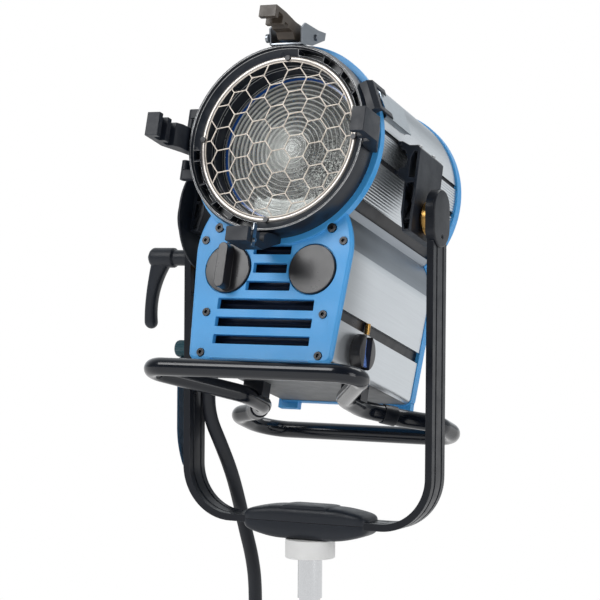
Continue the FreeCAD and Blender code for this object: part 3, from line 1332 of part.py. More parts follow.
def gland_boot():
    """The tapered rubber boot that the cable comes out of."""
    top = GLAND_Z - NUT_HEIGHT
    return Part.makeCone(CABLE_R + 1.8, CABLE_R + 3.5, BOOT_LENGTH,
                         V(GLAND_X, GLAND_Y, top - BOOT_LENGTH), V(0, 0, 1))


def cable_bends():
    """The radius of each arc: 0.45 of the shorter run beside it, over the tangent of half the turn."""
    bends = [0.0]
    for i in range(1, len(CABLE_ROUTE) - 1):
        back = V(*CABLE_ROUTE[i - 1]) - V(*CABLE_ROUTE[i])
        onward = V(*CABLE_ROUTE[i + 1]) - V(*CABLE_ROUTE[i])
        half = (math.pi - back.getAngle(onward)) / 2
        bends.append(0.45 * min(back.Length, onward.Length) / math.tan(half))
    return bends + [0.0]


def cable():
    return tube(CABLE_ROUTE, cable_bends(), CABLE_R)


def cable_plug():
    """The round metal connector on the cable's end: a clamp, a barrel and a coupling ring."""
    x, y, z = CABLE_ROUTE[-1]
    clamp = Part.makeCone(PLUG_R - 4, CABLE_R + 3, 26, V(x, y, z - 26), V(0, 0, 1))
    barrel = rod_z(PLUG_R - 3, z - PLUG_LENGTH + 34, z - 26, x, y)
    ring = rod_z(PLUG_R, z - PLUG_LENGTH, z - PLUG_LENGTH + 34, x, y)
    edges = [e for e in ring.Edges if e.BoundBox.ZLength < 0.01]
    ring = ring.makeFillet(1.5, edges)
    return fused([clamp, barrel, ring])


def strap_x():
    """The x of the strap's inner face."""
    return -LEG_OUT - STRAP_KNOB / 2 - 1.0


def strap_fittings():
    """The knob that the cable strap hangs from, on the left leg, and the keeper round the strap."""
    knob = rod_x(STRAP_KNOB_R, -LEG_OUT - STRAP_KNOB, -LEG_OUT, 0, STRAP_Z)
    rim = [e for e in knob.Edges if abs(e.BoundBox.XMax + LEG_OUT + STRAP_KNOB) < 0.01]
    x = strap_x()
    z = STRAP_Z - STRAP_KNOB_R - 14
    half = STRAP_WIDTH / 2
    outer = box(x - STRAP_THICK - 1.8, x + 1.8, -half - 2, half + 2, z - 4, z + 4)
    room = box(x - STRAP_THICK - SEAT_GAP, x + SEAT_GAP, -half - SEAT_GAP, half + SEAT_GAP, z - 5, z + 5)
    return Part.makeCompound([knob.makeFillet(2.0, rim), outer.cut(room)])


def cable_strap():
    """The folded webbing strap that hangs from the knob."""
    top = STRAP_Z - STRAP_KNOB_R
    x = strap_x()
    return box(x - STRAP_THICK, x, -STRAP_WIDTH / 2, STRAP_WIDTH / 2, top - STRAP_LENGTH, top)


# ---------------------------------------------------------------- the assembly
YOKE_NODES = {
    "yoke_bar": yoke_bar,
    "yoke_ears": yoke_ears,
    "pivot_pins": pivot_pins,
    "base_cover_top": cover_top,
    "base_cover_bottom": cover_bottom,
    "spigot_collar": collar,
    "spigot": spigot,
    "spigot_bolt": spigot_bolt,
    "lock_pad": lock_pad,
    "lever_handle": lever_handle,
    "lock_stud": lock_stud,
    "head_cable": cable,
    "cable_plug": cable_plug,
    "strap_fittings": strap_fittings,
    "cable_strap": cable_strap,
}
HEAD_NODES = {
    "side_mount_right": side_mount_right,
    "side_mount_left": side_mount_left,
    "rail_shoes": rail_shoes,
    "mount_screws": mount_screws,
    "brake_disc": brake_disc,
    "body_shell": body_shell,
    "side_panel_right": side_panel_right,
    "side_panel_left": side_panel_left,
    "lower_tray": lower_tray,
    "joint_strips": joint_strips,
    "front_casting": front_casting,
    "rear_casting": rear_casting,
    "casting_screws": casting_screws,
    "heat_shield": heat_shield,
    "lamp_rails": lamp_rails,
    "igniter_box": igniter_box,
    "badge_disc": badge_disc,
    "earth_stud": earth_stud,
    "switch_bezel": switch_bezel,
    "switch_rocker": switch_rocker,
    "skid_front": skid_front,
    "skid_rear": skid_rear,
    "skid_fittings": skid_fittings,
    "door_fittings": door_fittings,
    "cable_entry": cable_entry,
    "gland_boot": gland_boot,
    "door_ring": door_ring,
    "fresnel_lens": fresnel_lens,
    "lens_retainer": lens_retainer,
    "guard_ring": guard_ring,
    "guard_mesh": guard_mesh,
    "guard_screws": guard_screws,
    "accessory_claws": accessory_claws,
    "claw_spring": claw_spring,
    "latch_bracket": latch_bracket,
    "hinge_leaves": hinge_leaves,
    "door_fork": door_fork,
    "top_claw": top_claw,
    "latch_plate": latch_plate,
    "focus_knob": focus_knob,
    "lamp_carriage": lamp_carriage,
    "lamp_socket": lamp_socket,
    "lamp": lamp,
    "mirror": mirror,
}

for name, make in YOKE_NODES.items():
    add(name, make(), False)
for name, make in HEAD_NODES.items():
    add(name, make(), True)

os.makedirs("parts", exist_ok=True)
for name, shape in NODES.items():
    shape.exportStep("parts/" + name + ".step")
    print(name, len(shape.Solids), shape.isValid(), round(shape.Volume))
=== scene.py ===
import json
import math
from contextlib import contextmanager

import bmesh
import bpy
import numpy as np
from mathutils import Matrix, Vector
from bpy.props import FloatProperty, FloatVectorProperty, IntProperty, PointerProperty

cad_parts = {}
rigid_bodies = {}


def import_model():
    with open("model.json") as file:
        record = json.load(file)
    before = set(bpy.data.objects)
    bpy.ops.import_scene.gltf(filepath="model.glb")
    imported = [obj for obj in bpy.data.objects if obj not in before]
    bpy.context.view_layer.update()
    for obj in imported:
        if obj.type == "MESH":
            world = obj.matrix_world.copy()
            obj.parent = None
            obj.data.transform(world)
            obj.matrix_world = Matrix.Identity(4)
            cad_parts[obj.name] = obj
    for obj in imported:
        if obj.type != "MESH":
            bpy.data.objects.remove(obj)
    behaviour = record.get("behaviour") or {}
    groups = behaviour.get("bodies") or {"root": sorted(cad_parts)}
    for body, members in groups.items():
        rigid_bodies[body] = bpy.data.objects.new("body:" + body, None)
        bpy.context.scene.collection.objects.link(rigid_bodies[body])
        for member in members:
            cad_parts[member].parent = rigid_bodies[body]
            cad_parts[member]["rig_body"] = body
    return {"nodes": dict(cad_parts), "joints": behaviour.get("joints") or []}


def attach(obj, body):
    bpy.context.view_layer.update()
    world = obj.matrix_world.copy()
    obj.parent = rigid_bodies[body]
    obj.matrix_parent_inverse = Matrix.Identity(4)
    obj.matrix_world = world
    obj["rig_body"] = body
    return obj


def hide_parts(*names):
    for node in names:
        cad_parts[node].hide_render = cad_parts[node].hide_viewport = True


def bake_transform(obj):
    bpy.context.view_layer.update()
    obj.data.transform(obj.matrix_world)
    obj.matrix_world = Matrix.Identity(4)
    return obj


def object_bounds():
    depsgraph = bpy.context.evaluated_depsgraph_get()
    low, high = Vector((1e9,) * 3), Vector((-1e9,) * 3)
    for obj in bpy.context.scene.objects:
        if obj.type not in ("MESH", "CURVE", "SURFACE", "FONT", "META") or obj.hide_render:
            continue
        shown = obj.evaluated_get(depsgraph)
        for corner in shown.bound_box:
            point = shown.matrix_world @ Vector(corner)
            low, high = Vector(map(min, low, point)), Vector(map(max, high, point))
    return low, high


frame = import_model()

bl_info = {
    "name": "Fresnel spotlight",
    "version": (1, 0, 0),
    "blender": (4, 5, 0),
    "location": "3D View > Sidebar > Spotlight",
    "description": "Builds the surfaces and finishes of a fresnel spotlight round its CAD frame",
    "category": "Object",
}

# ---------------------------------------------------------------- the frame
CAD_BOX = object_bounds()
NODES = frame["nodes"]
JOINTS = {joint["name"]: joint for joint in frame["joints"]}
MM = 0.001
PIVOT = np.array(JOINTS["tilt"]["pos_m"], float)
HEAD_X = np.array((1.0, 0.0, 0.0))
HEAD_Y = np.array(JOINTS["balance_slide"]["axis"], float)
HEAD_Z = np.cross(HEAD_X, HEAD_Y)
LEAN = math.atan2(-HEAD_Y[2], HEAD_Y[1])

# Sizes shared with the CAD model, in millimetres of the head frame or of the upright yoke frame.
# Both have the tilt axis as their origin, -Y towards the lens and +Z up.
LENS_AXIS = 60.3
SHELL_R = 113.5
SHELL_FRONT, SHELL_REAR = -77.0, 135.0
SHELL_INSIDE = 110.9
BAFFLE_PITCH, BAFFLE_ROWS, BAFFLE_COLUMNS = 10.5, 61, 25
REAR_BAFFLE_Y, REAR_BAFFLE_WAVE, REAR_BAFFLE_R = 132.9, 0.7, 100.0
RAIL_HEIGHTS = (43.5, 77.0)
RAIL_HALF = 2.7
RAIL_FLOOR = 109.5
BLOCK_R = 102.0
BLOCK_LOW, BLOCK_HIGH = 36.8, 83.7
LENS_FRONT, LENS_BACK = -69.5, -63.5
LENS_R = 87.5
LENS_RIM_R = 83.4
DOME_R, DOME_HEIGHT = 16.0, 2.6
STEPS_R = LENS_RIM_R - 3
STEP_RISE = 0.24
LENS_CENTRE = (0.0, 0.0, LENS_AXIS)
BEAD_R, BEAD_HALF, BEAD_Y, BEAD_RISE = 92.95, 2.55, -105.7, 1.5
FILM_FOOT = -56.6
BAR_Z = -343.5
COVER_HALF = 79.0
COVER_DEPTH = 21.6
COVER_FLAT, COVER_END = 30.0, 10.8
LEVER_CENTRE = (0.0, 0.0, -45.5)
STRAP_X = -169.5
SHEET_THICK = 0.8
# In degrees: sharper edges of a CAD node are rounded.
EASED_ANGLE = 38.0
CABLE_R = 8.0
TUBE_SIDES = 28
PLUG_PLACE = (-98.0, 51.0)

# The route of the head cable in the part frame, from the tip of its boot to its plug, in metres.
CABLE_ROUTE = [
    (-0.1200, 0.02227, 0.2772),
    (-0.1200, 0.01353, 0.2454),
    (-0.1305, 0.0075, 0.2165),
    (-0.1378, 0.0045, 0.1860),
    (-0.1380, 0.0095, 0.1530),
    (-0.1285, 0.0200, 0.1210),
    (-0.1205, 0.0315, 0.0880),
    (-0.1158, 0.0410, 0.0550),
    (-0.1105, 0.0470, 0.0210),
    (-0.1025, 0.0500, -0.0120),
    (-0.0980, 0.0510, -0.0450),
    (-0.0980, 0.0510, -0.0730),
]


# ---------------------------------------------------------------- sizes and colours
def length(name, description, default):
    return FloatProperty(name=name, description=description, default=default, unit="LENGTH", precision=5)


def colour(name, description, default):
    return FloatVectorProperty(name=name, description=description, default=default, size=3,
                               subtype="COLOR", min=0.0, max=1.0)


class SpotlightSizes(bpy.types.PropertyGroup):
    """The fine sizes that the CAD frame leaves open."""

    rib_pitch: length("Fine rib pitch", "Distance between the ribs over the top of the housing", 0.0021)
    rib_pitch_low: length("Coarse rib pitch", "Distance between the ribs of the lower flanks", 0.0031)
    rib_depth: length("Rib depth", "Depth of the valleys between the ribs", 0.0006)
    lens_ring_depth: length("Lens step depth", "Height of the outermost step of the lens", 0.0026)
    lens_rings: IntProperty(name="Lens steps", description="Number of steps round the dome", default=12)
    edge: length("Casting edge", "Width of the rounded edges of castings", 0.0006)
    sheet_edge: length("Sheet edge", "Width of the rounded edges of bent sheet", 0.0003)
    boot_ribs: IntProperty(name="Boot ribs", description="Number of ribs along the cable boot", default=7)
    knurl_depth: length("Knurl depth", "Depth of the knurling on turned grips", 0.0006)
    weave: length("Weave", "Distance between the yarns of the webbing", 0.0016)


class SpotlightColours(bpy.types.PropertyGroup):
    """The colours of the finishes, linear."""

    blue_powder: colour("Blue powder coat", "The two castings", (0.064, 0.375, 0.800))
    # Lighter blue at the casting edges: partly rubbed wear, partly a painted highlight.
    blue_edge: colour("Powder coat edge", "Powder coat where an edge is rubbed", (0.20, 0.56, 0.92))
    satin_black: colour("Satin black", "Yoke and joint strips", (0.004, 0.006, 0.011))
    gloss_black: colour("Gloss black", "Skid frame tube", (0.004, 0.006, 0.011))
    charcoal: colour("Charcoal casting", "Side mounts, claws and door ring", (0.010, 0.014, 0.022))
    silver: colour("Silver", "Bare anodised housing", (0.60, 0.635, 0.665))
    panel_film: colour("Panel film", "Plain film over the upper part of each side panel", (0.30, 0.33, 0.365))
    latch_steel: colour("Latch steel", "The bent plate of the door latch", (0.50, 0.545, 0.58))
    claw_brown: colour("Worn claw", "The hinged claw", (0.060, 0.046, 0.034))
    zinc: colour("Zinc steel", "Plated small parts", (0.55, 0.56, 0.57))
    grey_steel: colour("Grey steel", "Bent sheet parts", (0.30, 0.325, 0.355))
    warm_steel: colour("Warm steel", "Guard mesh and keeper", (0.46, 0.41, 0.355))
    bead_steel: colour("Guard bead", "The rolled rim of the guard", (0.47, 0.44, 0.41))
    bright_steel: colour("Bright steel", "Stand spigot", (0.60, 0.61, 0.625))
    brass: colour("Bronze", "Washers and pads", (0.62, 0.36, 0.11))
    black_plastic: colour("Black plastic", "Covers and lever", (0.010, 0.0135, 0.021))
    gloss_plastic: colour("Gloss plastic", "Dials and switch", (0.018, 0.0175, 0.020))
    white_plastic: colour("White plastic", "Collar", (0.86, 0.855, 0.84))
    clear_blue: colour("Clear blue", "Switch rocker", (0.20, 0.36, 0.92))
    rubber: colour("Rubber", "Cable and boot", (0.012, 0.014, 0.019))
    teal: colour("Teal plastic", "Strap knob", (0.006, 0.055, 0.075))
    webbing: colour("Blue webbing", "Cable strap", (0.006, 0.085, 0.190))


def sizes():
    return bpy.context.scene.spotlight_sizes


def shades():
    return bpy.context.scene.spotlight_colours


# ---------------------------------------------------------------- mesh helpers
def head_points(points):
    """Millimetres of the leaning head frame to metres of the part frame: PIVOT + x X + y Y + z Z."""
    p = np.asarray(points, float) * MM
    return PIVOT + p[..., :1] * HEAD_X + p[..., 1:2] * HEAD_Y + p[..., 2:3] * HEAD_Z


def yoke_points(points):
    """Millimetres of the upright yoke frame to metres of the part frame."""
    return np.asarray(points, float) * MM + PIVOT


def part_points(points):
    return np.asarray(points, float) * MM


def values_of(parts, attribute, width=3):
    """One attribute of a mesh's parts as an array, a row for each part."""
    values = np.empty(len(parts) * width)
    parts.foreach_get(attribute, values)
    return values.reshape(-1, width)


def around(count):
    """Angles at equal steps once round."""
    return np.linspace(0.0, 2 * math.pi, count, endpoint=False)


def grid_of(*coordinates):
    """Points from their coordinates, arrays that broadcast against one another."""
    return np.stack(np.broadcast_arrays(*coordinates), axis=-1)


def placed(name, data):
    """A new object in the scene."""
    made = bpy.data.objects.new(name, data)
    bpy.context.scene.collection.objects.link(made)
    return made


@contextmanager
def editing(mesh):
    """A mesh as a bmesh, written back at the end."""
    shape = bmesh.new()
    shape.from_mesh(mesh)
    yield shape
    shape.to_mesh(mesh)
    shape.free()


def smoothed(mesh, angle):
    """Smooth shading, but for edges sharper than the angle in degrees."""
    mesh.shade_smooth()
    mesh.set_sharp_from_angle(angle=math.radians(angle))


def grid_faces(rows, columns, wrap_rows=False, wrap_columns=False):
    """The quads of a grid of points stored row by row; a wrap joins the last row or column to the first."""
    i = np.arange(rows if wrap_rows else rows - 1)[:, None]
    j = np.arange(columns if wrap_columns else columns - 1)[None, :]
    down, right = (i + 1) % rows, (j + 1) % columns
    corners = [i * columns + j, i * columns + right, down * columns + right, down * columns + j]
    return grid_of(*corners).reshape(-1, 4)


def make_object(name, points, faces, smooth=35.0):
    """A mesh object from points and faces: doubles merged, normals outwards, smooth up to an angle."""
    mesh = bpy.data.meshes.new(name)
    mesh.from_pydata(points.reshape(-1, 3).tolist(), [], np.asarray(faces).tolist())
    with editing(mesh) as shape:
        bmesh.ops.remove_doubles(shape, verts=shape.verts, dist=1e-7)
        bmesh.ops.recalc_face_normals(shape, faces=shape.faces)
    smoothed(mesh, smooth)
    return placed(name, mesh)


def dress(made, finish_name, body, replaced=()):
    """Gives a finished piece its material, the nodes that it stands for and its body."""
    made.data.materials.clear()
    made.data.materials.append(finish(finish_name))
    if replaced:
        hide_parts(*replaced)
    if body:
        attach(made, body)
    return made


def turned(profile, axis, centre, count, knurl=None):
    """Points of a surface of revolution: each (radius, along) of the profile at count angles round the axis.
    knurl(angle, row) is taken off the radius."""
    profile = np.asarray(profile, float)
    turn = around(count)[:, None]
    radius = np.broadcast_to(profile[:, 0], (count, len(profile)))
    if knurl is not None:
        radius = radius - knurl(turn, np.arange(len(profile))[None, :])
    along, one, other = profile[:, 1], radius * np.cos(turn), radius * np.sin(turn)
    order = {"x": (along, one, other), "y": (one, along, other), "z": (one, other, along)}[axis]
    return grid_of(*order) + np.asarray(centre, float)


def lathe(name, profile, axis, centre, place, count, closed=False, knurl=None, smooth=35.0):
    """A turned piece. An open profile starts and ends on the axis; a closed one is a ring's section."""
    points = place(turned(profile, axis, centre, count, knurl))
    return make_object(name, points, grid_faces(count, len(profile), True, closed), smooth)


def rounded(profile, radius, steps):
    """A profile whose inner corners are replaced by short curves: each corner point gives way to points on
    the quadratic from radius before it to radius after it."""
    profile = np.asarray(profile, float)
    before, here, after = profile[:-2], profile[1:-1], profile[2:]
    back, on = before - here, after - here
    back_length = np.linalg.norm(back, axis=1, keepdims=True)
    on_length = np.linalg.norm(on, axis=1, keepdims=True)
    start = here + back / back_length * np.minimum(radius, back_length * 0.45)
    end = here + on / on_length * np.minimum(radius, on_length * 0.45)
    t = np.linspace(0.0, 1.0, steps + 1)[None, :, None]
    curve = (1 - t) ** 2 * start[:, None] + 2 * t * (1 - t) * here[:, None] + t**2 * end[:, None]
    return np.concatenate([profile[:1], curve.reshape(-1, 2), profile[-1:]])


def superellipse(turn, power):
    """The unit superellipse |c|^power + |s|^power = 1 at each angle, as its c and s."""
    c, s = np.cos(turn), np.sin(turn)
    return np.sign(c) * np.abs(c) ** (2 / power), np.sign(s) * np.abs(s) ** (2 / power)


def eased(node, finish_name, width, segments=2):
    """A copy of a CAD node with its loose triangles merged, flat faces joined and sharp edges rounded."""
    source = NODES[node].data
    corners = values_of(source.loops, "vertex_index", 1).astype(int).reshape(-1, 3)
    mesh = bpy.data.meshes.new(node + "_eased")
    mesh.from_pydata(values_of(source.vertices, "co").tolist(), [], corners.tolist())
    with editing(mesh) as shape:
        bmesh.ops.remove_doubles(shape, verts=shape.verts, dist=2e-6)
        bmesh.ops.dissolve_limit(shape, angle_limit=math.radians(0.5), verts=shape.verts, edges=shape.edges)
    smoothed(mesh, EASED_ANGLE)
    made = placed(node + "_eased", mesh)
    bevel = made.modifiers.new("Eased edges", "BEVEL")
    bevel.limit_method = "ANGLE"
    bevel.angle_limit = math.radians(EASED_ANGLE)
    bevel.width = width
    bevel.segments = segments
    bevel.use_clamp_overlap = False
    bevel.harden_normals = True
    bevel.miter_outer = "MITER_ARC"
    return dress(made, finish_name, NODES[node]["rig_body"], [node])


def panel(node):
    """A side panel, cut level at the foot of the plain film that covers its upper part."""
    made = eased(node, "silver", sizes().sheet_edge)
    foot = head_points((0.0, 0.0, FILM_FOOT)).tolist()
    with editing(made.data) as shape:
        bmesh.ops.bisect_plane(shape, geom=[*shape.verts, *shape.edges, *shape.faces], plane_co=foot,
                               plane_no=HEAD_Z.tolist())
    paint(made, local_centres(made)[2] > FILM_FOOT, "panel_film")


def ease_nodes(width, **finish_names):
    """Makes edge-rounded copies of CAD nodes, each given with its finish."""
    for node, finish_name in finish_names.items():
        eased(node, finish_name, width)


def finish_nodes(**finish_names):
    """Gives CAD nodes whose shape is right their finish."""
    for node, finish_name in finish_names.items():
        NODES[node].data.materials.clear()
        NODES[node].data.materials.append(finish(finish_name))


def paint(piece, part, *finish_names):
    """Adds finishes to a piece; part counts, face by face, which of its materials is used."""
    for finish_name in finish_names:
        piece.data.materials.append(finish(finish_name))
    piece.data.polygons.foreach_set("material_index", np.asarray(part, int))


def local_centres(piece):
    """The middles of a piece's faces in millimetres of the head frame: across, along and up."""
    local = (values_of(piece.data.polygons, "center") - PIVOT) / MM
    return local @ HEAD_X, local @ HEAD_Y, local @ HEAD_Z


# ---------------------------------------------------------------- finishes
class Nodes:
    """The node tree of a material or world being put together."""

    def __init__(self, owner):
        owner.use_nodes = True
        self.tree = owner.node_tree
        self.tree.nodes.clear()

    def add(self, kind, sockets=None, **settings):
        """A new node with its settings made and its sockets set or linked."""
        node = self.tree.nodes.new(kind)
        for key, value in settings.items():
            setattr(node, key, value)
        self.put(node, sockets or {})
        return node

    def put(self, node, sockets):
        for key, value in sockets.items():
            if isinstance(value, bpy.types.NodeSocket):
                self.tree.links.new(value, node.inputs[key])
            else:
                node.inputs[key].default_value = value

    def spread(self, value, low, high, start=0.3, end=0.7):
        """A value between start and end carried to between low and high."""
        ends = {"Value": value, "From Min": start, "From Max": end, "To Min": low, "To Max": high}
        return self.add("ShaderNodeMapRange", ends).outputs[0]

    def math(self, operation, *values):
        return self.add("ShaderNodeMath", dict(enumerate(values)), operation=operation).outputs[0]

    def mixed(self, share, one, other):
        """One shader giving way to another with a share from 0 to 1."""
        return self.add("ShaderNodeMixShader", {0: share, 1: one, 2: other}).outputs[0]


class Finish(Nodes):
    """A node material being put together round one principled shader, on object coordinates."""

    def __init__(self, name):
        self.material = bpy.data.materials.new(name + "_finish")
        super().__init__(self.material)
        self.shader = self.add("ShaderNodeBsdfPrincipled")
        self.output = self.add("ShaderNodeOutputMaterial", {"Surface": self.shader.outputs[0]})
        self.place = self.add("ShaderNodeTexCoord").outputs["Object"]

    def surface(self, **sockets):
        self.put(self.shader, {key.replace("_", " "): value for key, value in sockets.items()})

    def noise(self, scale, detail, place=None):
        given = {"Vector": place or self.place, "Scale": scale, "Detail": detail}
        return self.add("ShaderNodeTexNoise", given).outputs[0]

    def between(self, share, one, other):
        """One colour turning into another with a share from 0 to 1."""
        node = self.add("ShaderNodeMix", data_type="RGBA")
        self.put(node, {0: share, 6: one, 7: other})
        return node.outputs[2]

    def tinted(self, value, shade, low, high):
        """A shade that runs from low to high times itself with a noise value."""
        return self.between(self.spread(value, 0.0, 1.0), rgba(shade, low), rgba(shade, high))

    def bump(self, height, distance):
        given = {"Height": height, "Distance": distance, "Strength": 1.0}
        return self.add("ShaderNodeBump", given).outputs[0]

    def edges(self, reach):
        """How near a point is to an edge: the rounded normal's lean away from the true one."""
        soft = self.add("ShaderNodeBevel", {"Radius": reach}, samples=6).outputs[0]
        true = self.add("ShaderNodeNewGeometry").outputs["Normal"]
        dot = self.add("ShaderNodeVectorMath", {0: soft, 1: true}, operation="DOT_PRODUCT").outputs["Value"]
        return self.spread(dot, 1.0, 0.0, 0.80, 0.995)

    def along_head(self, stretch):
        """Coordinates turned with the head and drawn out along its length."""
        turned_place = {"Vector": self.place, "Rotation": (-LEAN, 0.0, 0.0), "Scale": (1.0, stretch, 1.0)}
        return self.add("ShaderNodeMapping", turned_place, vector_type="TEXTURE").outputs[0]


def rgba(shade, factor=1.0):
    return (*[min(1.0, c * factor) for c in shade], 1.0)


def coated(name, rough, *, shade, metallic=0.0, mottle=0.08, patch=30.0, grain=900.0, depth=0.00004,
           spread=0.07, coat=0.0, worn=None, reach=0.0010, wear=0.55, specular=0.5):
    """Paint, cast metal or moulded plastic: cloudy colour, fine grain, and edges lightened partly as rubbed
    wear and partly as a painted highlight.
    """
    made = Finish(name)
    clouds = made.noise(patch, 4.0)
    specks = made.noise(grain, 2.0)
    tone = made.tinted(clouds, shade, 1 - mottle, 1 + mottle)
    tone = made.between(made.spread(specks, 0.0, 0.35), tone, rgba(shade, 1 + 2.5 * mottle))
    # Edges turn towards a paler colour: partly rubbed wear, partly a painted highlight along them.
    if worn is not None:
        rubbed_and_highlit = made.math("MULTIPLY", made.edges(reach),
                           made.spread(made.noise(140.0, 5.0), 0.15, wear, 0.35, 0.65))
        tone = made.between(rubbed_and_highlit, tone, rgba(worn))
    made.surface(Base_Color=tone, Metallic=metallic, Coat_Weight=coat, Coat_Roughness=0.12,
                 Specular_IOR_Level=specular)
    made.surface(Roughness=made.spread(made.noise(patch * 2.3, 5.0), rough - spread, rough + spread))
    made.surface(Normal=made.bump(specks, depth))
    return made.material


def drawn_metal(name, rough, *, shade, stretch=60.0, grain=700.0, depth=0.00002, spread=0.06, mottle=0.05,
                stain=0.06):
    """Bare metal with fine lines along the head, cloudy reflection and faint handling marks."""
    made = Finish(name)
    lines = made.noise(grain, 3.0, made.along_head(stretch))
    clouds = made.noise(14.0, 4.0)
    marks = made.noise(55.0, 6.0)
    tone = made.tinted(lines, shade, 1 - mottle, 1 + mottle)
    tone = made.between(made.spread(marks, 0.0, stain, 0.52, 0.75), tone, rgba(shade, 0.45))
    made.surface(Base_Color=tone, Metallic=1.0)
    made.surface(Roughness=made.spread(clouds, rough - spread, rough + spread))
    made.surface(Normal=made.bump(lines, depth))
    return made.material


def lens_glass(name, rough, *, shade, cloudy, pebble, through=0.94, frost=0.0):
    """Pressed glass, faintly clouded. pebble is the depth of its dimples and through the share that is clear.
    The last share is taken off the clear one about a point left of the middle, which paints a white glow
    there; glass given it also has painted sparkle, bright specks at its lower right."""
    made = Finish(name)
    dimples = made.add("ShaderNodeTexVoronoi", {"Vector": made.place, "Scale": 560.0}, feature="SMOOTH_F1")
    dust = made.noise(24.0, 6.0)
    made.surface(Base_Color=made.between(made.spread(dust, 0.0, 1.0), rgba(cloudy), rgba(shade)))
    made.surface(Roughness=made.spread(dust, rough, rough * 2.5), IOR=1.47, Transmission_Weight=through)
    if frost:
        def near(place, start, end, low, high):
            ends = {0: made.place, 1: head_points(place).tolist()}
            away = made.add("ShaderNodeVectorMath", ends, operation="DISTANCE").outputs["Value"]
            return made.spread(away, low, high, start, end)

        # Less clear glass about a point left of the middle paints a white glow, and bright specks at the
        # lower right paint sparkle.
        clear_but_for_painted_glow = near((-13.0, LENS_BACK, LENS_AXIS + 2.0), 0.002, 0.036, 1 - frost, 1.0)
        grains = made.add("ShaderNodeTexVoronoi", {"Vector": made.place, "Scale": 760.0})
        painted_sparkle = made.math("MULTIPLY", made.spread(grains.outputs["Color"], 0.0, 0.75, 0.58, 0.72),
                            near((52.0, LENS_BACK, LENS_AXIS - 34.0), 0.020, 0.062, 1.0, 0.0))
        open_share = made.math("SUBTRACT", 1.0, painted_sparkle)
        clear_share = made.math("MULTIPLY", clear_but_for_painted_glow, through)
        made.surface(Transmission_Weight=made.math("MULTIPLY", clear_share, open_share))
    made.surface(Normal=made.bump(dimples.outputs[0], pebble))
    let_by = made.add("ShaderNodeBsdfTransparent", {"Color": rgba(shade)})
    shadow = made.add("ShaderNodeLightPath").outputs["Is Shadow Ray"]
    made.put(made.output, {"Surface": made.mixed(shadow, made.shader.outputs[0], let_by.outputs[0])})
    return made.material


def clear_glass(name, rough, *, shade, transmission, facets=0.0):
    """Clear plastic or glass, faintly dusty; facets is the depth of the cut stones moulded into it."""
    made = Finish(name)
    dust = made.noise(90.0, 4.0)
    made.surface(Base_Color=made.tinted(dust, shade, 0.85, 1.1))
    made.surface(Roughness=made.spread(dust, rough, rough + 0.08), IOR=1.45,
                 Transmission_Weight=transmission)
    if facets:
        stones = made.add("ShaderNodeTexVoronoi", {"Vector": made.place, "Scale": 420.0}, feature="F1")
        made.surface(Normal=made.bump(stones.outputs[0], facets))
    return made.material


def jacket(name, rough, *, shade):
    """Extruded rubber: matt, with a faint bloom and a fine pull along the surface."""
    made = Finish(name)
    bloom = made.noise(40.0, 6.0)
    pores = made.noise(1500.0, 2.0)
    made.surface(Base_Color=made.tinted(bloom, shade, 0.8, 1.6))
    made.surface(Roughness=made.spread(bloom, rough, rough + 0.16), Specular_IOR_Level=0.45)
    made.surface(Normal=made.bump(pores, 0.00004))
    return made.material


def woven(name, rough, *, shade):
    """Flat webbing on the piece's own UV map: two crossed waves of yarn, whose product is the height."""
    made = Finish(name)
    uv = made.add("ShaderNodeTexCoord").outputs["UV"]
    split = made.add("ShaderNodeSeparateXYZ", {0: uv})
    turns = 2 * math.pi * MM / sizes().weave
    across = made.math("SINE", made.math("MULTIPLY", split.outputs[0], turns))
    along = made.math("SINE", made.math("MULTIPLY", split.outputs[1], turns * 1.6))
    weave = made.math("MULTIPLY", across, along)
    fibres = made.noise(1800.0, 3.0)
    tone = made.between(made.spread(weave, 0.0, 1.0, -1.0, 1.0), rgba(shade, 0.55), rgba(shade, 1.35))
    tone = made.between(made.spread(fibres, 0.0, 0.3), tone, rgba(shade, 2.4))
    made.surface(Base_Color=tone, Roughness=made.spread(fibres, rough, rough + 0.23), Sheen_Weight=0.35)
    made.surface(Normal=made.bump(weave, 0.0003))
    return made.material


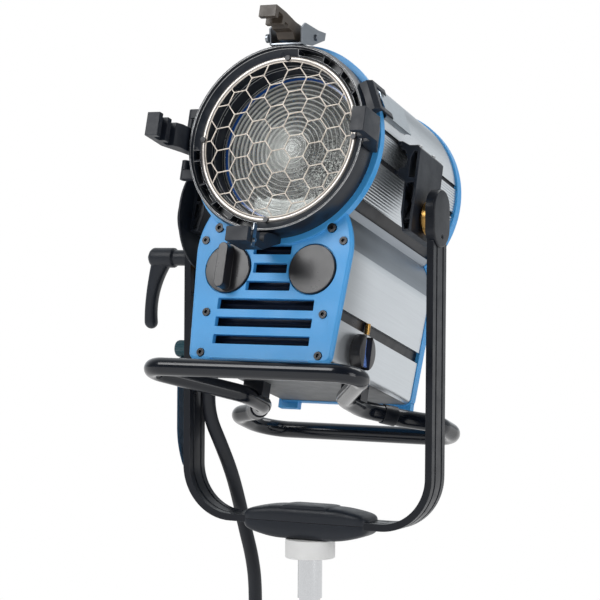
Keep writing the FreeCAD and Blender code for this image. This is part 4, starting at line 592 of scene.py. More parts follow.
# Each finish: how it is made, its roughness, and what else it needs. A colour given by name is one of the
# properties; the shade is the property of the finish's own name unless one is given.
FINISHES = {
    # The edge colours of the coated finishes lighten their edges: partly rubbed wear, partly a painted
    # highlight.
    "blue_powder": (coated, 0.40, dict(
        mottle=0.05, patch=14.0, grain=800.0, depth=0.00014, worn="blue_edge", wear=0.75, reach=0.0012)),
    "satin_black": (coated, 0.34, dict(mottle=0.15, worn=(0.16, 0.17, 0.185), wear=0.6, specular=0.36)),
    "gloss_black": (coated, 0.17, dict(
        mottle=0.12, patch=18.0, spread=0.03, depth=0.000006, coat=0.2, specular=0.40)),
    "charcoal_cast": (coated, 0.44, dict(
        shade="charcoal", mottle=0.14, grain=800.0, depth=0.00010, worn=(0.22, 0.225, 0.235), wear=0.6,
        specular=0.42)),
    "ring_black": (coated, 0.34, dict(
        shade="charcoal", mottle=0.14, depth=0.00004, worn=(0.50, 0.50, 0.52), wear=1.0, reach=0.0009)),
    "silver": (drawn_metal, 0.33, dict(depth=0.000006, spread=0.025, mottle=0.03, stain=0.015)),
    "panel_film": (drawn_metal, 0.40, dict(depth=0.000003, spread=0.03, mottle=0.03, stain=0.03)),
    "latch_steel": (drawn_metal, 0.36, dict(stretch=4.0, grain=500.0, depth=0.000006, spread=0.03)),
    # A dark finish for the rail slots, as painted shade, and for the inside of the shell.
    "slot_dark": (coated, 0.45, dict(shade=(0.05, 0.053, 0.06), metallic=0.6)),
    "zinc_steel": (coated, 0.34, dict(shade="zinc", metallic=1.0, mottle=0.10, patch=90.0)),
    "black_screw": (coated, 0.30, dict(
        shade=(0.018, 0.019, 0.022), metallic=0.4, mottle=0.2, patch=120.0, worn=(0.20, 0.20, 0.21),
        reach=0.0006)),
    "grey_steel": (drawn_metal, 0.34, dict(stretch=12.0, grain=500.0)),
    "claw_brown": (coated, 0.40, dict(
        mottle=0.25, patch=45.0, depth=0.00008, worn=(0.30, 0.27, 0.23), wear=0.8, reach=0.0012)),
    # A darker finish for the tray's downward faces: painted shade.
    "tray_underside": (coated, 0.5, dict(
        shade=(0.16, 0.165, 0.17), metallic=0.6, mottle=0.12, grain=420.0, depth=0.00012)),
    # Bright metal for the door ring's rounded edges: partly rubbed wear, partly a painted highlight along the
    # rim.
    "worn_edge": (coated, 0.32, dict(shade=(0.42, 0.425, 0.43), metallic=0.9, mottle=0.3, patch=60.0)),
    "warm_steel": (coated, 0.40, dict(metallic=0.3, mottle=0.06, patch=60.0, grain=1300.0, depth=0.00002)),
    "bead_steel": (coated, 0.34, dict(metallic=0.85, mottle=0.05, patch=50.0, depth=0.00001, spread=0.05)),
    "bright_steel": (drawn_metal, 0.12, dict(stretch=1.0, grain=900.0)),
    "brass": (coated, 0.30, dict(metallic=1.0, mottle=0.14, patch=80.0)),
    "black_plastic": (coated, 0.42, dict(
        mottle=0.10, grain=1400.0, depth=0.00010, spread=0.05, worn=(0.10, 0.10, 0.11), wear=0.4,
        specular=0.42)),
    "gloss_plastic": (coated, 0.30, dict(mottle=0.10, depth=0.00001, spread=0.03, coat=0.15)),
    "white_plastic": (coated, 0.48, dict(mottle=0.05, grain=1300.0, depth=0.00008)),
    "ceramic": (coated, 0.5, dict(shade=(0.62, 0.60, 0.55), mottle=0.06)),
    "teal_plastic": (coated, 0.38, dict(shade="teal", mottle=0.15)),
    "navy_baffle": (coated, 0.5, dict(shade=(0.012, 0.020, 0.045), mottle=0.25, patch=25.0)),
    "mirror_metal": (coated, 0.10, dict(
        shade=(0.80, 0.81, 0.82), metallic=1.0, mottle=0.03, spread=0.04, depth=0.00002)),
    "blue_clear": (clear_glass, 0.08, dict(shade="clear_blue", transmission=0.15, facets=0.0012)),
    "lamp_glass": (clear_glass, 0.02, dict(shade=(0.92, 0.94, 0.95), transmission=0.95)),
    "lens_glass": (lens_glass, 0.03, dict(
        shade=(0.84, 0.86, 0.84), cloudy=(0.66, 0.68, 0.665), pebble=0.00002, through=0.97)),
    # Whiter, mostly opaque glass for the step risers, so that the rings read bright: painted highlight.
    "lens_step": (lens_glass, 0.16, dict(
        shade=(0.97, 0.98, 0.96), cloudy=(0.90, 0.91, 0.89), pebble=0.00002, through=0.30)),
    # The pebbled back carries a painted glow left of the middle and painted sparkle at its lower right.
    "lens_pebbled": (lens_glass, 0.10, dict(
        shade=(0.97, 0.97, 0.96), cloudy=(0.90, 0.91, 0.90), pebble=0.0004, frost=0.80)),
    "lens_rim_blue": (coated, 0.14, dict(
        shade=(0.022, 0.100, 0.400), mottle=0.10, patch=40.0, depth=0.00001, coat=0.6, spread=0.05)),
    "black_rubber": (jacket, 0.46, dict(shade="rubber")),
    "blue_webbing": (woven, 0.62, dict(shade="webbing")),
}


def finish(name):
    """The finish of that name, made the first time that it is asked for."""
    made = bpy.data.materials.get(name + "_finish")
    if made:
        return made
    make, rough, given = FINISHES[name]
    named = {"shade": name, **given}
    for key, value in named.items():
        if isinstance(value, str):
            named[key] = getattr(shades(), value)
    return make(name, rough, **named)


# ---------------------------------------------------------------- pieces
def rib_arc(start, end, pitch, depth):
    """Points along an arc of the housing between two angles. The radius is the shell's, less the depth times
    (1 - |cos|) of the distance along the arc, so that ridges are round and valleys are sharp."""
    reach = abs(end - start) * SHELL_R
    ribs = max(2, round(reach / pitch))
    s = np.linspace(0.0, 1.0, ribs * 4 + 1)
    radius = SHELL_R - depth * (1 - np.abs(np.cos(math.pi * ribs * s)))
    angle = start + (end - start) * s
    return grid_of(radius * np.cos(angle), LENS_AXIS + radius * np.sin(angle))


def shell_outline(size):
    """The right half of the housing's outer outline as (x, z), from its foot to its top: ribs, with a flat
    floor at each rail slot."""
    pitch, low_pitch, depth = size.rib_pitch / MM, size.rib_pitch_low / MM, size.rib_depth / MM
    edges = [(rail - RAIL_HALF, rail + RAIL_HALF) for rail in RAIL_HEIGHTS]
    angles = [math.asin((z - LENS_AXIS) / SHELL_R) for z in (0.0, *edges[0], *edges[1])] + [math.pi / 2]
    runs = [rib_arc(*angles[0:2], low_pitch, depth)]
    for slot, start, pitch_here in ((edges[0], 2, low_pitch), (edges[1], 4, pitch)):
        runs.append(np.array([(RAIL_FLOOR, z) for z in slot]))
        runs.append(rib_arc(*angles[start:start + 2], pitch_here, depth))
    return np.concatenate(runs)


def ribbed_shell(size):
    """The round upper wall. Its outline of outer points, and inner points at the same angles about the lens
    axis, is carried straight along the head; the four lines of points close into one solid."""
    half = shell_outline(size)
    outer = np.concatenate([half, half[-2::-1] * (-1, 1)])
    angle = np.arctan2(outer[:, 1] - LENS_AXIS, outer[:, 0])
    thick = (outer[:, 1] > BLOCK_LOW) & (outer[:, 1] < BLOCK_HIGH)
    radius = np.where(thick, BLOCK_R, SHELL_INSIDE)
    inner = grid_of(radius * np.cos(angle), LENS_AXIS + radius * np.sin(angle))
    rows = [(outer, SHELL_FRONT), (outer, SHELL_REAR), (inner, SHELL_REAR), (inner, SHELL_FRONT)]
    points = head_points(np.stack([grid_of(line[:, 0], y, line[:, 1]) for line, y in rows], axis=1))
    count = len(outer)
    faces = grid_faces(count, 4, False, True)
    ends = np.array([[0, 1, 2, 3], [4 * count - 1, 4 * count - 2, 4 * count - 3, 4 * count - 4]])
    made = make_object("ribbed_shell", points, np.concatenate([faces, ends]), 30.0)
    dress(made, "silver", "head", ["body_shell"])
    across, _, up = local_centres(made)
    reach = np.hypot(across, up - LENS_AXIS)
    near = np.min([np.abs(up - rail) for rail in RAIL_HEIGHTS], axis=0) < RAIL_HALF + 0.01
    in_slot = near & (reach < SHELL_R - 0.8) & (reach > RAIL_FLOOR - 6.0) & (np.abs(across) > 90.0)
    # The rail slots take a dark finish as painted shade; the inside of the shell takes the same dark finish.
    paint(made, in_slot | (reach < SHELL_INSIDE + 0.1), "slot_dark")


def lens_profile(size):
    """The lens section as (radius, y): a low dome with fine waves, then steps, a flat rim, the edge and a
    flat back. Each step rises along half a cosine over its first part and falls away along a power of
    1.6."""
    dome = np.linspace(0.0, DOME_R, 25)
    waves = 0.12 * (1 - np.cos(2 * math.pi * dome / DOME_R * 4))
    crown = LENS_FRONT - 0.2 - DOME_HEIGHT * (1 - (dome / DOME_R) ** 2) + waves
    points = [grid_of(dome, crown)]
    count = size.lens_rings
    inner = np.linspace(DOME_R, STEPS_R, count + 1)[:-1]
    width = (STEPS_R - DOME_R) / count
    depth = size.lens_ring_depth / MM * (0.5 + 0.5 * inner / LENS_RIM_R)
    t = np.array([0.02, 0.07, 0.13, 0.19, STEP_RISE, 0.42, 0.55, 0.70, 0.85, 0.98])[None, :]
    rise = (1 + np.cos(math.pi * np.clip(t / STEP_RISE, 0, 1))) / 2
    fall = np.clip((t - STEP_RISE) / (1 - STEP_RISE), 0, 1) ** 1.6
    low = LENS_FRONT - 0.5 + depth[:, None] * np.where(t <= STEP_RISE, rise, fall)
    points.append(grid_of(inner[:, None] + width * t, low).reshape(-1, 2))
    points.append([(LENS_RIM_R - 2.4, LENS_FRONT), (LENS_R, LENS_FRONT), (LENS_R, LENS_BACK),
                   (0.0, LENS_BACK)])
    return np.concatenate(points)


def lever_arm():
    """The lever's arm. Its outer and inner lines are quadratics through three points each; each section is a
    superellipse between them, and the last sections shrink by sqrt(1 - s^2) to close the tip."""
    outer = np.array([(-210.0, -44.0), (-217.9, -86.75), (-220.5, -121.5)])
    inner = np.array([(-184.5, -50.0), (-202.4, -84.75), (-205.5, -121.5)])
    t = np.linspace(0.0, 1.0, 25)[:, None]
    weights = np.concatenate([2 * (t - 0.5) * (t - 1), -4 * t * (t - 1), 2 * t * (t - 0.5)], axis=1)
    one, other = weights @ outer, weights @ inner
    middle, half = (one + other) / 2, (one - other) / 2
    deep = 8.4 - 1.4 * t[:, 0]
    s = np.sin(np.linspace(0.0, math.pi / 2, 9))[1:, None]
    shrink = np.sqrt(1 - s**2)
    middle = np.concatenate([middle, middle[-1] + (0.35, -8.0) * s])
    half = np.concatenate([half, half[-1] * shrink])
    deep = np.concatenate([deep, deep[-1] * shrink[:, 0]])
    sides = 40
    c, y = superellipse(around(sides), 2.7)
    plane = middle[:, None] + half[:, None] * c[None, :, None]
    points = grid_of(plane[..., 0], deep[:, None] * y[None, :], plane[..., 1])
    root = np.broadcast_to(points[0].mean(axis=0), (1, sides, 3))
    return np.concatenate([root, points]), grid_faces(len(points) + 1, sides, False, True)


def joined(name, parts):
    """Several closed shapes, each (points, faces), as one mesh object."""
    offset, points, faces = 0, [], []
    for place, quads in parts:
        points.append(place.reshape(-1, 3))
        faces.append(np.asarray(quads) + offset)
        offset += len(points[-1])
    return make_object(name, np.concatenate(points), np.concatenate(faces))


def clamping_lever():
    """The clamping lever: a turned neck and hub along X with the lofted arm."""
    hub = rounded([(0, -157.8), (8.4, -157.8), (9.25, -159.0), (9.25, -178.6), (10.4, -180.0),
                   (11.75, -181.4), (11.75, -208.6), (9.6, -212.0), (6.2, -212.0), (5.9, -211.0),
                   (0, -211.0)], 1.0, 4)
    sides = 64
    turned_hub = yoke_points(turned(hub, "x", LEVER_CENTRE, sides))
    arm, arm_faces = lever_arm()
    made = joined("clamping_lever", [
        (turned_hub, grid_faces(sides, len(hub), True, False)), (yoke_points(arm), arm_faces)])
    cap = rounded([(0, -209.0), (6.4, -209.0), (6.4, -212.6), (4.9, -214.4), (0, -214.9)], 0.8, 4)
    dress(lathe("lever_cap", cap, "x", LEVER_CENTRE, yoke_points, 48), "grey_steel", "lock_lever")
    dress(made, "black_plastic", "lock_lever", ["lever_handle"])


def cover_half(name, up, tall):
    """Half of the yoke's foot cover. Across, it is half a superellipse; its height falls from the flat middle
    to the ends along a quarter cosine, and both height and depth close at the ends as a superellipse."""
    x = COVER_HALF * np.sin(np.linspace(-math.pi / 2, math.pi / 2, 61))
    end = np.clip(1 - np.abs(x / COVER_HALF) ** 22, 0, 1) ** (1 / 3.2)
    fall = np.clip((np.abs(x) - COVER_FLAT) / (COVER_HALF - COVER_FLAT), 0, 1)
    high = (COVER_END + (tall - COVER_END) * np.cos(fall * math.pi / 2) ** 1.1) * end
    deep = COVER_DEPTH * np.clip(1 - np.abs(x / COVER_HALF) ** 16, 0, 1) ** (1 / 4.0)
    turn = np.linspace(0.0, math.pi, 33)
    c, s = superellipse(turn, 4.6)
    y = deep[:, None] * c[None, :] * (1 - 0.03 * (1 - s[None, :]) ** 6)
    z = BAR_Z + up * (0.25 + high[:, None] * s[None, :])
    points = yoke_points(grid_of(x[:, None], y, z))
    return make_object(name, points, grid_faces(len(x), len(turn), False, True), 50.0)


def cover_crown():
    """The low disc on top of the cover: a polar grid whose rim is round but cut off flat front and back, and
    whose height is 2 (1 - share^6)."""
    sides = 96
    turn = around(sides)[:, None]
    share = np.array([0.0, 0.35, 0.7, 0.86, 0.94, 0.98, 1.0, 1.0])[None, :]
    rim = np.minimum(34.0, 19.0 / np.maximum(np.abs(np.sin(turn)), 1e-6))
    drop = np.array([0, 0, 0, 0, 0, 0, 0, 1.0])[None, :]
    height = BAR_Z + 17.4 + 2.0 * (1 - share**6) - 2.0 * drop
    points = grid_of(rim * share * np.cos(turn), rim * share * np.sin(turn), height)
    floor = points[:, -1:] * (0, 0, 1)
    points = np.concatenate([points, floor], axis=1)
    return yoke_points(points), grid_faces(sides, points.shape[1], True, False)


def centreline(route):
    """Points along the smooth line that a route controls, read from its NURBS spline."""
    line = bpy.data.curves.new("cable_line", "CURVE")
    line.dimensions = "3D"
    line.resolution_u = 14
    spline = line.splines.new("NURBS")
    spline.points.add(len(route) - 1)
    spline.points.foreach_set("co", np.column_stack([route, np.ones(len(route))]).ravel())
    spline.order_u = 3
    spline.use_endpoint_u = True
    holder = placed("cable_line", line)
    bpy.context.view_layer.update()
    mesh = bpy.data.meshes.new_from_object(holder.evaluated_get(bpy.context.evaluated_depsgraph_get()))
    places = values_of(mesh.vertices, "co")
    bpy.data.meshes.remove(mesh)
    bpy.data.objects.remove(holder)
    return places


def capped_tube(name, path, radius):
    """A tube along a path that never runs along Y. Each ring of points lies across the path's direction, and
    both ends are closed at their middles."""
    forward = np.gradient(path, axis=0)
    forward /= np.linalg.norm(forward, axis=1, keepdims=True)
    side = np.cross(forward, (0.0, 1.0, 0.0))
    side /= np.linalg.norm(side, axis=1, keepdims=True)
    up = np.cross(side, forward)
    turn = around(TUBE_SIDES)[None, :, None]
    rings = path[:, None] + radius * (np.cos(turn) * side[:, None] + np.sin(turn) * up[:, None])
    first, last = (np.broadcast_to(end, (1, TUBE_SIDES, 3)) for end in (path[0], path[-1]))
    points = np.concatenate([first, rings, last])
    return make_object(name, points, grid_faces(len(points), TUBE_SIDES, False, True), 50.0)


def strap_band():
    """The hanging strap: a thin superellipse section carried down a line that curls in at its foot.
    Its UV map is in millimetres across and along."""
    rows, sides = 60, 48
    t = np.linspace(0.0, 1.0, rows)
    x = STRAP_X + 9.0 * np.clip((t - 0.62) / 0.38, 0, 1) ** 2.2
    z = -161.0 - 128.5 * t
    end = np.clip(1 - np.abs(2 * t - 1) ** 60, 0, 1) ** 0.5
    c, s = superellipse(around(sides), 6.0)
    fold = 1 - 0.16 * np.exp(-((s / 0.12) ** 2))
    points = grid_of(x[:, None] + 1.45 * s * end[:, None], 11.0 * c * fold, z[:, None])
    points[0] = points[0].mean(axis=0)
    points[-1] = points[-1].mean(axis=0)
    made = make_object("webbing_strap", yoke_points(points), grid_faces(rows, sides, False, True), 60.0)
    places = values_of(made.data.vertices, "co") / MM
    corners = values_of(made.data.loops, "vertex_index", 1).astype(int)[:, 0]
    layer = made.data.uv_layers.new(name="UVMap")
    layer.uv.foreach_set("vector", places[corners][:, 1:].ravel())
    dress(made, "blue_webbing", "yoke", ["cable_strap"])


def keeper_ring():
    """The flat ring round the strap: an outer and an inner superellipse joined at both ends."""
    sides = 64
    c, s = superellipse(around(sides)[:, None], 7.0)
    half_y = np.array([12.6, 13.0, 13.0, 12.6, 11.3, 11.3])[None, :]
    half_x = np.array([2.9, 3.3, 3.3, 2.9, 1.7, 1.7])[None, :]
    z = np.array([-4.0, -3.5, 3.5, 4.0, 3.8, -3.8])[None, :] - 176.0
    points = yoke_points(grid_of(STRAP_X + s * half_x, c * half_y, z))
    made = make_object("strap_keeper", points, grid_faces(sides, z.size, True, True), 30.0)
    dress(made, "warm_steel", "yoke")


def baffle(name, half, low, high, depth=-64.0, wave=1.6):
    """A corrugated dark sheet behind the vents: its y is a sine of its height about a depth. half is its
    half width, one number or one for each of its heights."""
    x = np.linspace(-1.0, 1.0, BAFFLE_COLUMNS)[None, :] * np.reshape(half, (-1, 1))
    z = np.linspace(low, high, BAFFLE_ROWS)[:, None]
    points = grid_of(x, depth + wave * np.sin(z * 2 * math.pi / BAFFLE_PITCH), z)
    made = make_object(name, head_points(points), grid_faces(BAFFLE_ROWS, BAFFLE_COLUMNS), 60.0)
    wall = made.modifiers.new("Sheet", "SOLIDIFY")
    wall.thickness = SHEET_THICK * MM
    wall.offset = 0.0
    dress(made, "navy_baffle", "head")


# ---------------------------------------------------------------- stage
# The camera's turns in degrees, about Z, then its own X, then its own line of sight.
CAMERA_PLACE = (1.05243, -2.08215, 0.34369)
CAMERA_TURNS = (27.15, 88.75, 0.41)
CAMERA_LENS = 123.24
WATCHED_PLACE = (0.0, 0.0, 0.36)
# Each lamp: its name, place, width and height in metres, and power in watts.
LAMPS = (
    ("key", (-1.03, -1.86, 1.85), 1.1, 1.3, 28.0),
    ("fill", (2.2, -0.9, 0.5), 0.9, 1.6, 12.0),
    ("back", (0.9, 1.6, 2.2), 1.2, 1.2, 17.0),
)
FLOOR_DROP, FLOOR_HALF, FLOOR_ROWS = 0.001, 12.0, 25
WORLD_LIGHT = 0.42
ROOM_FRONT = 0.20
WALL_DARKNESS = 0.52


def aim(thing, place, turn):
    """Puts a lamp or camera, which looks along its own -Z, at a place with a turn."""
    thing.matrix_world = Matrix.LocRotScale(place, turn, None)


def soft_lamp(name, place, width, height, power):
    lamp = bpy.data.lights.new(name, "AREA")
    lamp.shape = "RECTANGLE"
    lamp.size = width
    lamp.size_y = height
    lamp.energy = power
    aim(placed(name, lamp), place, (Vector(WATCHED_PLACE) - Vector(place)).to_track_quat("-Z", "Y"))


def studio_world():
    """An even light, with plain white for the camera. Gloss and glass see that white behind the object, a dim
    room in front of it and a grey wall behind it to the right."""
    world = bpy.data.worlds.new("studio")
    bpy.context.scene.world = world
    sky = Nodes(world)
    way = sky.add("ShaderNodeSeparateXYZ", {0: sky.add("ShaderNodeTexCoord").outputs["Generated"]}).outputs
    wall = sky.math("MULTIPLY", sky.spread(way[0], 0.0, 1.0, -0.15, 0.25),
                    sky.spread(way[2], 0.0, WALL_DARKNESS, 0.0, 0.06))
    room = sky.math("MULTIPLY", sky.spread(way[1], ROOM_FRONT, 1.0, -0.35, 0.45),
                    sky.math("SUBTRACT", 1.0, wall))
    paths = sky.add("ShaderNodeLightPath").outputs
    gloss = sky.math("MAXIMUM", paths["Is Glossy Ray"], paths["Is Transmission Ray"])
    lit, surround, white = (
        sky.add("ShaderNodeBackground", {"Color": shade, "Strength": strength}).outputs[0]
        for shade, strength in (((0.96, 0.98, 1.0, 1.0), WORLD_LIGHT), ((0.93, 0.97, 1.0, 1.0), room),
                                ((1.0, 1.0, 1.0, 1.0), 1.0)))
    seen = sky.mixed(paths["Is Camera Ray"], sky.mixed(gloss, lit, surround), white)
    sky.add("ShaderNodeOutputWorld", {0: seen})


def pale_floor(height):
    """A wide pale floor that keeps the shadow near the object and fades to plain white away from it."""
    t = np.linspace(-FLOOR_HALF, FLOOR_HALF, FLOOR_ROWS)
    points = grid_of(t[None, :], t[:, None], height)
    made = make_object("studio_floor", points, grid_faces(FLOOR_ROWS, FLOOR_ROWS))
    if made.data.polygons[0].normal.z < 0:
        made.data.flip_normals()
    look = Finish("studio_floor")
    grain = look.noise(30.0, 3.0)
    look.surface(Base_Color=look.between(look.spread(grain, 0.0, 1.0), (0.84, 0.84, 0.845, 1),
                                         (0.87, 0.87, 0.875, 1)))
    look.surface(Roughness=look.spread(grain, 0.6, 0.7), Specular_IOR_Level=0.2)
    white = look.add("ShaderNodeEmission", {"Color": (1, 1, 1, 1), "Strength": 1.0})
    far = look.add("ShaderNodeVectorMath", {0: look.place}, operation="LENGTH").outputs["Value"]
    paths = look.add("ShaderNodeLightPath").outputs
    seen = look.math("MAXIMUM", paths["Is Camera Ray"], paths["Is Glossy Ray"])
    fade = look.math("MULTIPLY", look.spread(far, 0.55, 1.0, 0.28, 0.62), seen)
    look.put(look.output, {"Surface": look.mixed(fade, look.shader.outputs[0], white.outputs[0])})
    made.data.materials.append(look.material)


# ---------------------------------------------------------------- operators
class SPOTLIGHT_OT_stage(bpy.types.Operator):
    """Set the camera, the lamps, the white surround and the floor"""

    bl_idname = "spotlight.stage"
    bl_label = "Stage"

    def execute(self, context):
        scene = context.scene
        scene.view_settings.view_transform = "Standard"
        camera = bpy.data.cameras.new("camera")
        camera.lens = CAMERA_LENS
        camera.sensor_width = 36.0
        holder = placed("camera", camera)
        z_turn, x_turn, roll = (Matrix.Rotation(math.radians(degrees), 3, axis)
                                for degrees, axis in zip(CAMERA_TURNS, "ZXZ"))
        aim(holder, CAMERA_PLACE, z_turn @ x_turn @ roll)
        scene.camera = holder
        studio_world()
        pale_floor(float(CAD_BOX[0][2]) - FLOOR_DROP)
        for lamp in LAMPS:
            soft_lamp(*lamp)
        return {"FINISHED"}


class SPOTLIGHT_OT_cable(bpy.types.Operator):
    """Make the head cable, its ribbed boot and its connector"""

    bl_idname = "spotlight.cable"
    bl_label = "Cable"

    def execute(self, context):
        count = sizes().boot_ribs
        s = np.linspace(0.0, 1.0, count * 8 + 1)
        radius = 11.5 - 1.7 * s - 0.45 * (1 - np.cos(2 * math.pi * count * s)) * (s < 0.995)
        boot = np.concatenate([[(0, -60)], grid_of(radius, -60 - 38 * s), [(8.2, -98), (0, -97)]])
        dress(lathe("ribbed_boot", boot, "z", (-120, 50, 0), head_points, 56), "black_rubber", "head",
              ["gland_boot"])
        plug = rounded([
            (0, -73), (10.6, -73), (11.4, -75), (17.2, -97), (18.6, -99), (18.6, -108), (17.6, -110),
            (17.6, -112), (19, -114), (19, -133), (20.4, -135), (22, -137), (22, -165), (20.6, -168.6),
            (17.6, -169), (16.6, -166), (0, -166)], 0.8, 2)
        along = plug[:, 1]
        knurled = (along < -137.5) & (along > -164.5) | (along < -99.5) & (along > -107.5)

        def knurl(turn, row):
            return sizes().knurl_depth / MM * np.abs(np.sin(14 * turn)) * knurled[row]

        plug_piece = lathe("cable_connector", plug, "z", (*PLUG_PLACE, 0), part_points, 112, knurl=knurl)
        dress(plug_piece, "satin_black", "yoke", ["cable_plug"])
        path = centreline(CABLE_ROUTE)
        if path[0][2] < path[-1][2]:
            path = path[::-1]
        cable = capped_tube("head_cable_jacket", path, CABLE_R * MM)
        dress(cable, "black_rubber", None, ["head_cable"])
        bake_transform(cable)
        return {"FINISHED"}


class SPOTLIGHT_OT_housing(bpy.types.Operator):
    """Make the ribbed shell and finish the silver panels, the tray and the joint strips"""

    bl_idname = "spotlight.housing"
    bl_label = "Housing"

    def execute(self, context):
        ribbed_shell(sizes())
        panel("side_panel_right")
        panel("side_panel_left")
        tray = eased("lower_tray", "silver", sizes().sheet_edge)
        # Faces that look down take a darker finish: painted shade under the tray.
        paint(tray, values_of(tray.data.polygons, "normal") @ HEAD_Z < -0.9, "tray_underside")
        finish_nodes(joint_strips="satin_black", earth_stud="brass")
        baffle("vent_baffle_low", 80.0, -170.0, -109.0)
        baffle("vent_baffle_high", 44.0, -107.5, -50.0)
        baffle("louvre_baffle_low", 76.0, -165.0, -24.0, REAR_BAFFLE_Y, REAR_BAFFLE_WAVE)
        low, high = -8.0, 158.0
        half = np.sqrt(REAR_BAFFLE_R**2 - (np.linspace(low, high, BAFFLE_ROWS) - LENS_AXIS) ** 2)
        baffle("louvre_baffle_high", half, low, high, REAR_BAFFLE_Y, REAR_BAFFLE_WAVE)
        return {"FINISHED"}


class SPOTLIGHT_OT_castings(bpy.types.Operator):
    """Round the edges of the two blue castings and finish their screws"""

    bl_idname = "spotlight.castings"
    bl_label = "Castings"

    def execute(self, context):
        ease_nodes(sizes().edge, front_casting="blue_powder", rear_casting="blue_powder")
        finish_nodes(casting_screws="black_screw")
        ease_nodes(sizes().sheet_edge, door_fittings="charcoal_cast")
        return {"FINISHED"}


class SPOTLIGHT_OT_lens(bpy.types.Operator):
    """Make the stepped lens and finish its guard"""

    bl_idname = "spotlight.lens"
    bl_label = "Lens and guard"

    def execute(self, context):
        lens = lathe("stepped_lens", lens_profile(sizes()), "y", LENS_CENTRE, head_points, 144,
                     smooth=24.0)
        dress(lens, "lens_glass", "lens_door", ["fresnel_lens"])
        across, depth, up = local_centres(lens)
        reach = np.hypot(across, up - LENS_AXIS)
        width = (STEPS_R - DOME_R) / sizes().lens_rings
        # The step risers take whiter, mostly opaque glass so that the rings read bright: painted highlight.
        rising = (reach > DOME_R) & ((reach - DOME_R) / width % 1.0 < STEP_RISE)
        part = np.where(rising, 3, 0)
        part = np.where(reach > LENS_RIM_R - 2.5, 2, part)
        part = np.where(depth > LENS_BACK - 0.2, 1, part)
        paint(lens, part, "lens_pebbled", "lens_rim_blue", "lens_step")
        line = [(83.0, -71.9), (83.4, -72.9), (84.2, -73.2), (85.0, -72.9), (85.4, -71.8)]
        dress(lathe("lens_seat_line", line, "y", LENS_CENTRE, head_points, 144, closed=True),
              "bright_steel", "lens_door")
        finish_nodes(lens_retainer="ring_black")
        t = np.linspace(0.0, math.pi, 13)
        bead = grid_of(BEAD_R - BEAD_HALF * np.cos(t), BEAD_Y - BEAD_RISE * np.sin(t) ** 0.8)
        dress(lathe("guard_bead", bead, "y", LENS_CENTRE, head_points, 160, closed=True, smooth=60.0),
              "bead_steel", "lens_door", ["guard_ring"])
        finish_nodes(guard_mesh="warm_steel", guard_screws="black_screw")
        return {"FINISHED"}


class SPOTLIGHT_OT_door(bpy.types.Operator):
    """Round the edges of the lens door, its claws, hinge, fork and latches"""

    bl_idname = "spotlight.door"
    bl_label = "Lens door"

    def execute(self, context):
        edge, thin = sizes().edge, sizes().sheet_edge
        ring = eased("door_ring", "ring_black", 1.3 * thin)
        # The ring's rounded edges take bright metal: partly rubbed wear, partly a painted highlight along its
        # rim.
        ring.data.materials.append(finish("worn_edge"))
        ring.modifiers["Eased edges"].material = 1
        ease_nodes(edge, accessory_claws="charcoal_cast", top_claw="claw_brown",
                   hinge_leaves="charcoal_cast", door_fork="charcoal_cast")
        ease_nodes(thin, latch_bracket="grey_steel", latch_plate="latch_steel")
        ease_nodes(thin / 2, claw_spring="grey_steel")
        return {"FINISHED"}


class SPOTLIGHT_OT_yoke(bpy.types.Operator):
    """Finish the yoke bar, its ears and its pivots"""

    bl_idname = "spotlight.yoke"
    bl_label = "Yoke"

    def execute(self, context):
        ease_nodes(sizes().sheet_edge, yoke_bar="satin_black", yoke_ears="satin_black")
        finish_nodes(pivot_pins="brass", lock_pad="brass")
        return {"FINISHED"}


class SPOTLIGHT_OT_foot(bpy.types.Operator):
    """Make the two halves of the foot cover and finish the collar and the spigot"""

    bl_idname = "spotlight.foot"
    bl_label = "Foot"

    def execute(self, context):
        crown, crown_faces = cover_crown()
        top = cover_half("foot_cover_top", 1, 17.5)
        disc = make_object("foot_cover_crown", crown, crown_faces, 40.0)
        dress(top, "black_plastic", "yoke", ["base_cover_top"])
        dress(disc, "black_plastic", "yoke")
        low = cover_half("foot_cover_bottom", -1, 20.2)
        dress(low, "black_plastic", "yoke", ["base_cover_bottom"])
        finish_nodes(spigot_collar="white_plastic", spigot="bright_steel", spigot_bolt="zinc_steel")
        return {"FINISHED"}


class SPOTLIGHT_OT_lever(bpy.types.Operator):
    """Make the clamping lever and finish its stud"""

    bl_idname = "spotlight.lever"
    bl_label = "Clamping lever"

    def execute(self, context):
        clamping_lever()
        finish_nodes(lock_stud="zinc_steel")
        return {"FINISHED"}


class SPOTLIGHT_OT_strap(bpy.types.Operator):
    """Make the cable strap, its keeper and its knob"""

    bl_idname = "spotlight.strap"
    bl_label = "Cable strap"

    def execute(self, context):
        strap_band()
        keeper_ring()
        profile = rounded([(0, -157.5), (9.2, -157.5), (10, -158.6), (10, -173.6), (9.0, -176.0),
                           (6.0, -176.5), (0, -176.5)], 0.8, 3)

        def knurl(turn, row):
            inside = (profile[row, 1] < -159.0) & (profile[row, 1] > -174.5)
            return sizes().knurl_depth / MM * np.abs(np.sin(15 * turn)) * inside

        knob = lathe("strap_knob", profile, "x", (0, 0, -152), yoke_points, 120, knurl=knurl)
        dress(knob, "teal_plastic", "yoke", ["strap_fittings"])
        return {"FINISHED"}


class SPOTLIGHT_OT_mounts(bpy.types.Operator):
    """Round the edges of the side mounts and finish the brake disc and shoes"""

    bl_idname = "spotlight.mounts"
    bl_label = "Side mounts"

    def execute(self, context):
        ease_nodes(sizes().edge, side_mount_right="charcoal_cast", side_mount_left="charcoal_cast")
        ease_nodes(sizes().sheet_edge, brake_disc="charcoal_cast")
        finish_nodes(rail_shoes="charcoal_cast", mount_screws="zinc_steel")
        return {"FINISHED"}


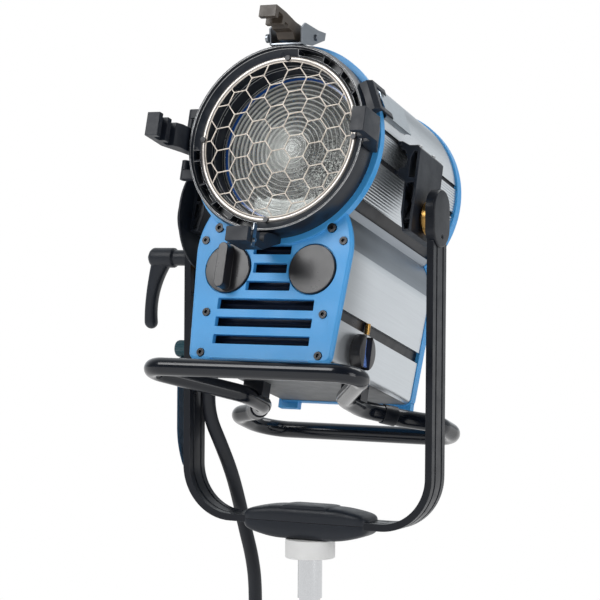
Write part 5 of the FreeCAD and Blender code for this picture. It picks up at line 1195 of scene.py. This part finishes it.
class SPOTLIGHT_OT_controls(bpy.types.Operator):
    """Round the edges of the focus knob, the switch bezel and the cable entry, and finish the plain disc and
    the rocker
    """

    bl_idname = "spotlight.controls"
    bl_label = "Controls"

    def execute(self, context):
        eased("focus_knob", "gloss_plastic", 0.7 * MM, 3)
        finish_nodes(badge_disc="gloss_plastic")
        ease_nodes(sizes().sheet_edge, switch_bezel="gloss_plastic")
        finish_nodes(switch_rocker="blue_clear")
        ease_nodes(sizes().edge, cable_entry="black_plastic")
        return {"FINISHED"}


class SPOTLIGHT_OT_skid(bpy.types.Operator):
    """Finish the skid frame"""

    bl_idname = "spotlight.skid"
    bl_label = "Skid frame"

    def execute(self, context):
        finish_nodes(skid_front="gloss_black", skid_rear="gloss_black", skid_fittings="satin_black")
        return {"FINISHED"}


class SPOTLIGHT_OT_optics(bpy.types.Operator):
    """Finish what lies inside the housing"""

    bl_idname = "spotlight.optics"
    bl_label = "Lamp and optics"

    def execute(self, context):
        # The heat shield takes the dark charcoal finish so that the inside of the housing reads dark: painted
        # shade.
        finish_nodes(heat_shield="charcoal_cast", lamp_carriage="grey_steel", lamp_rails="zinc_steel",
                     igniter_box="black_plastic", lamp_socket="ceramic", lamp="lamp_glass",
                     mirror="mirror_metal")
        return {"FINISHED"}


STEPS = (
    SPOTLIGHT_OT_stage, SPOTLIGHT_OT_cable, SPOTLIGHT_OT_housing, SPOTLIGHT_OT_castings,
    SPOTLIGHT_OT_lens, SPOTLIGHT_OT_door, SPOTLIGHT_OT_yoke, SPOTLIGHT_OT_foot, SPOTLIGHT_OT_lever,
    SPOTLIGHT_OT_strap, SPOTLIGHT_OT_mounts, SPOTLIGHT_OT_controls, SPOTLIGHT_OT_skid,
    SPOTLIGHT_OT_optics,
)


class SPOTLIGHT_PT_pieces(bpy.types.Panel):
    """Lists the pieces of the spotlight"""

    bl_idname = "SPOTLIGHT_PT_pieces"
    bl_label = "Fresnel spotlight"
    bl_space_type = "VIEW_3D"
    bl_region_type = "UI"
    bl_category = "Spotlight"

    def draw(self, context):
        for step in STEPS:
            self.layout.operator(step.bl_idname)
        for group in (context.scene.spotlight_sizes, context.scene.spotlight_colours):
            for name in group.__annotations__:
                self.layout.prop(group, name)


CLASSES = (SpotlightSizes, SpotlightColours, *STEPS, SPOTLIGHT_PT_pieces)


def register():
    for made in CLASSES:
        bpy.utils.register_class(made)
    bpy.types.Scene.spotlight_sizes = PointerProperty(type=SpotlightSizes)
    bpy.types.Scene.spotlight_colours = PointerProperty(type=SpotlightColours)


def unregister():
    del bpy.types.Scene.spotlight_colours
    del bpy.types.Scene.spotlight_sizes
    for made in reversed(CLASSES):
        bpy.utils.unregister_class(made)


def main():
    """Registers the add-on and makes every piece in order."""
    register()
    for step in STEPS:
        getattr(bpy.ops.spotlight, step.bl_idname.split(".")[1])()


if __name__ == "__main__":
    main()
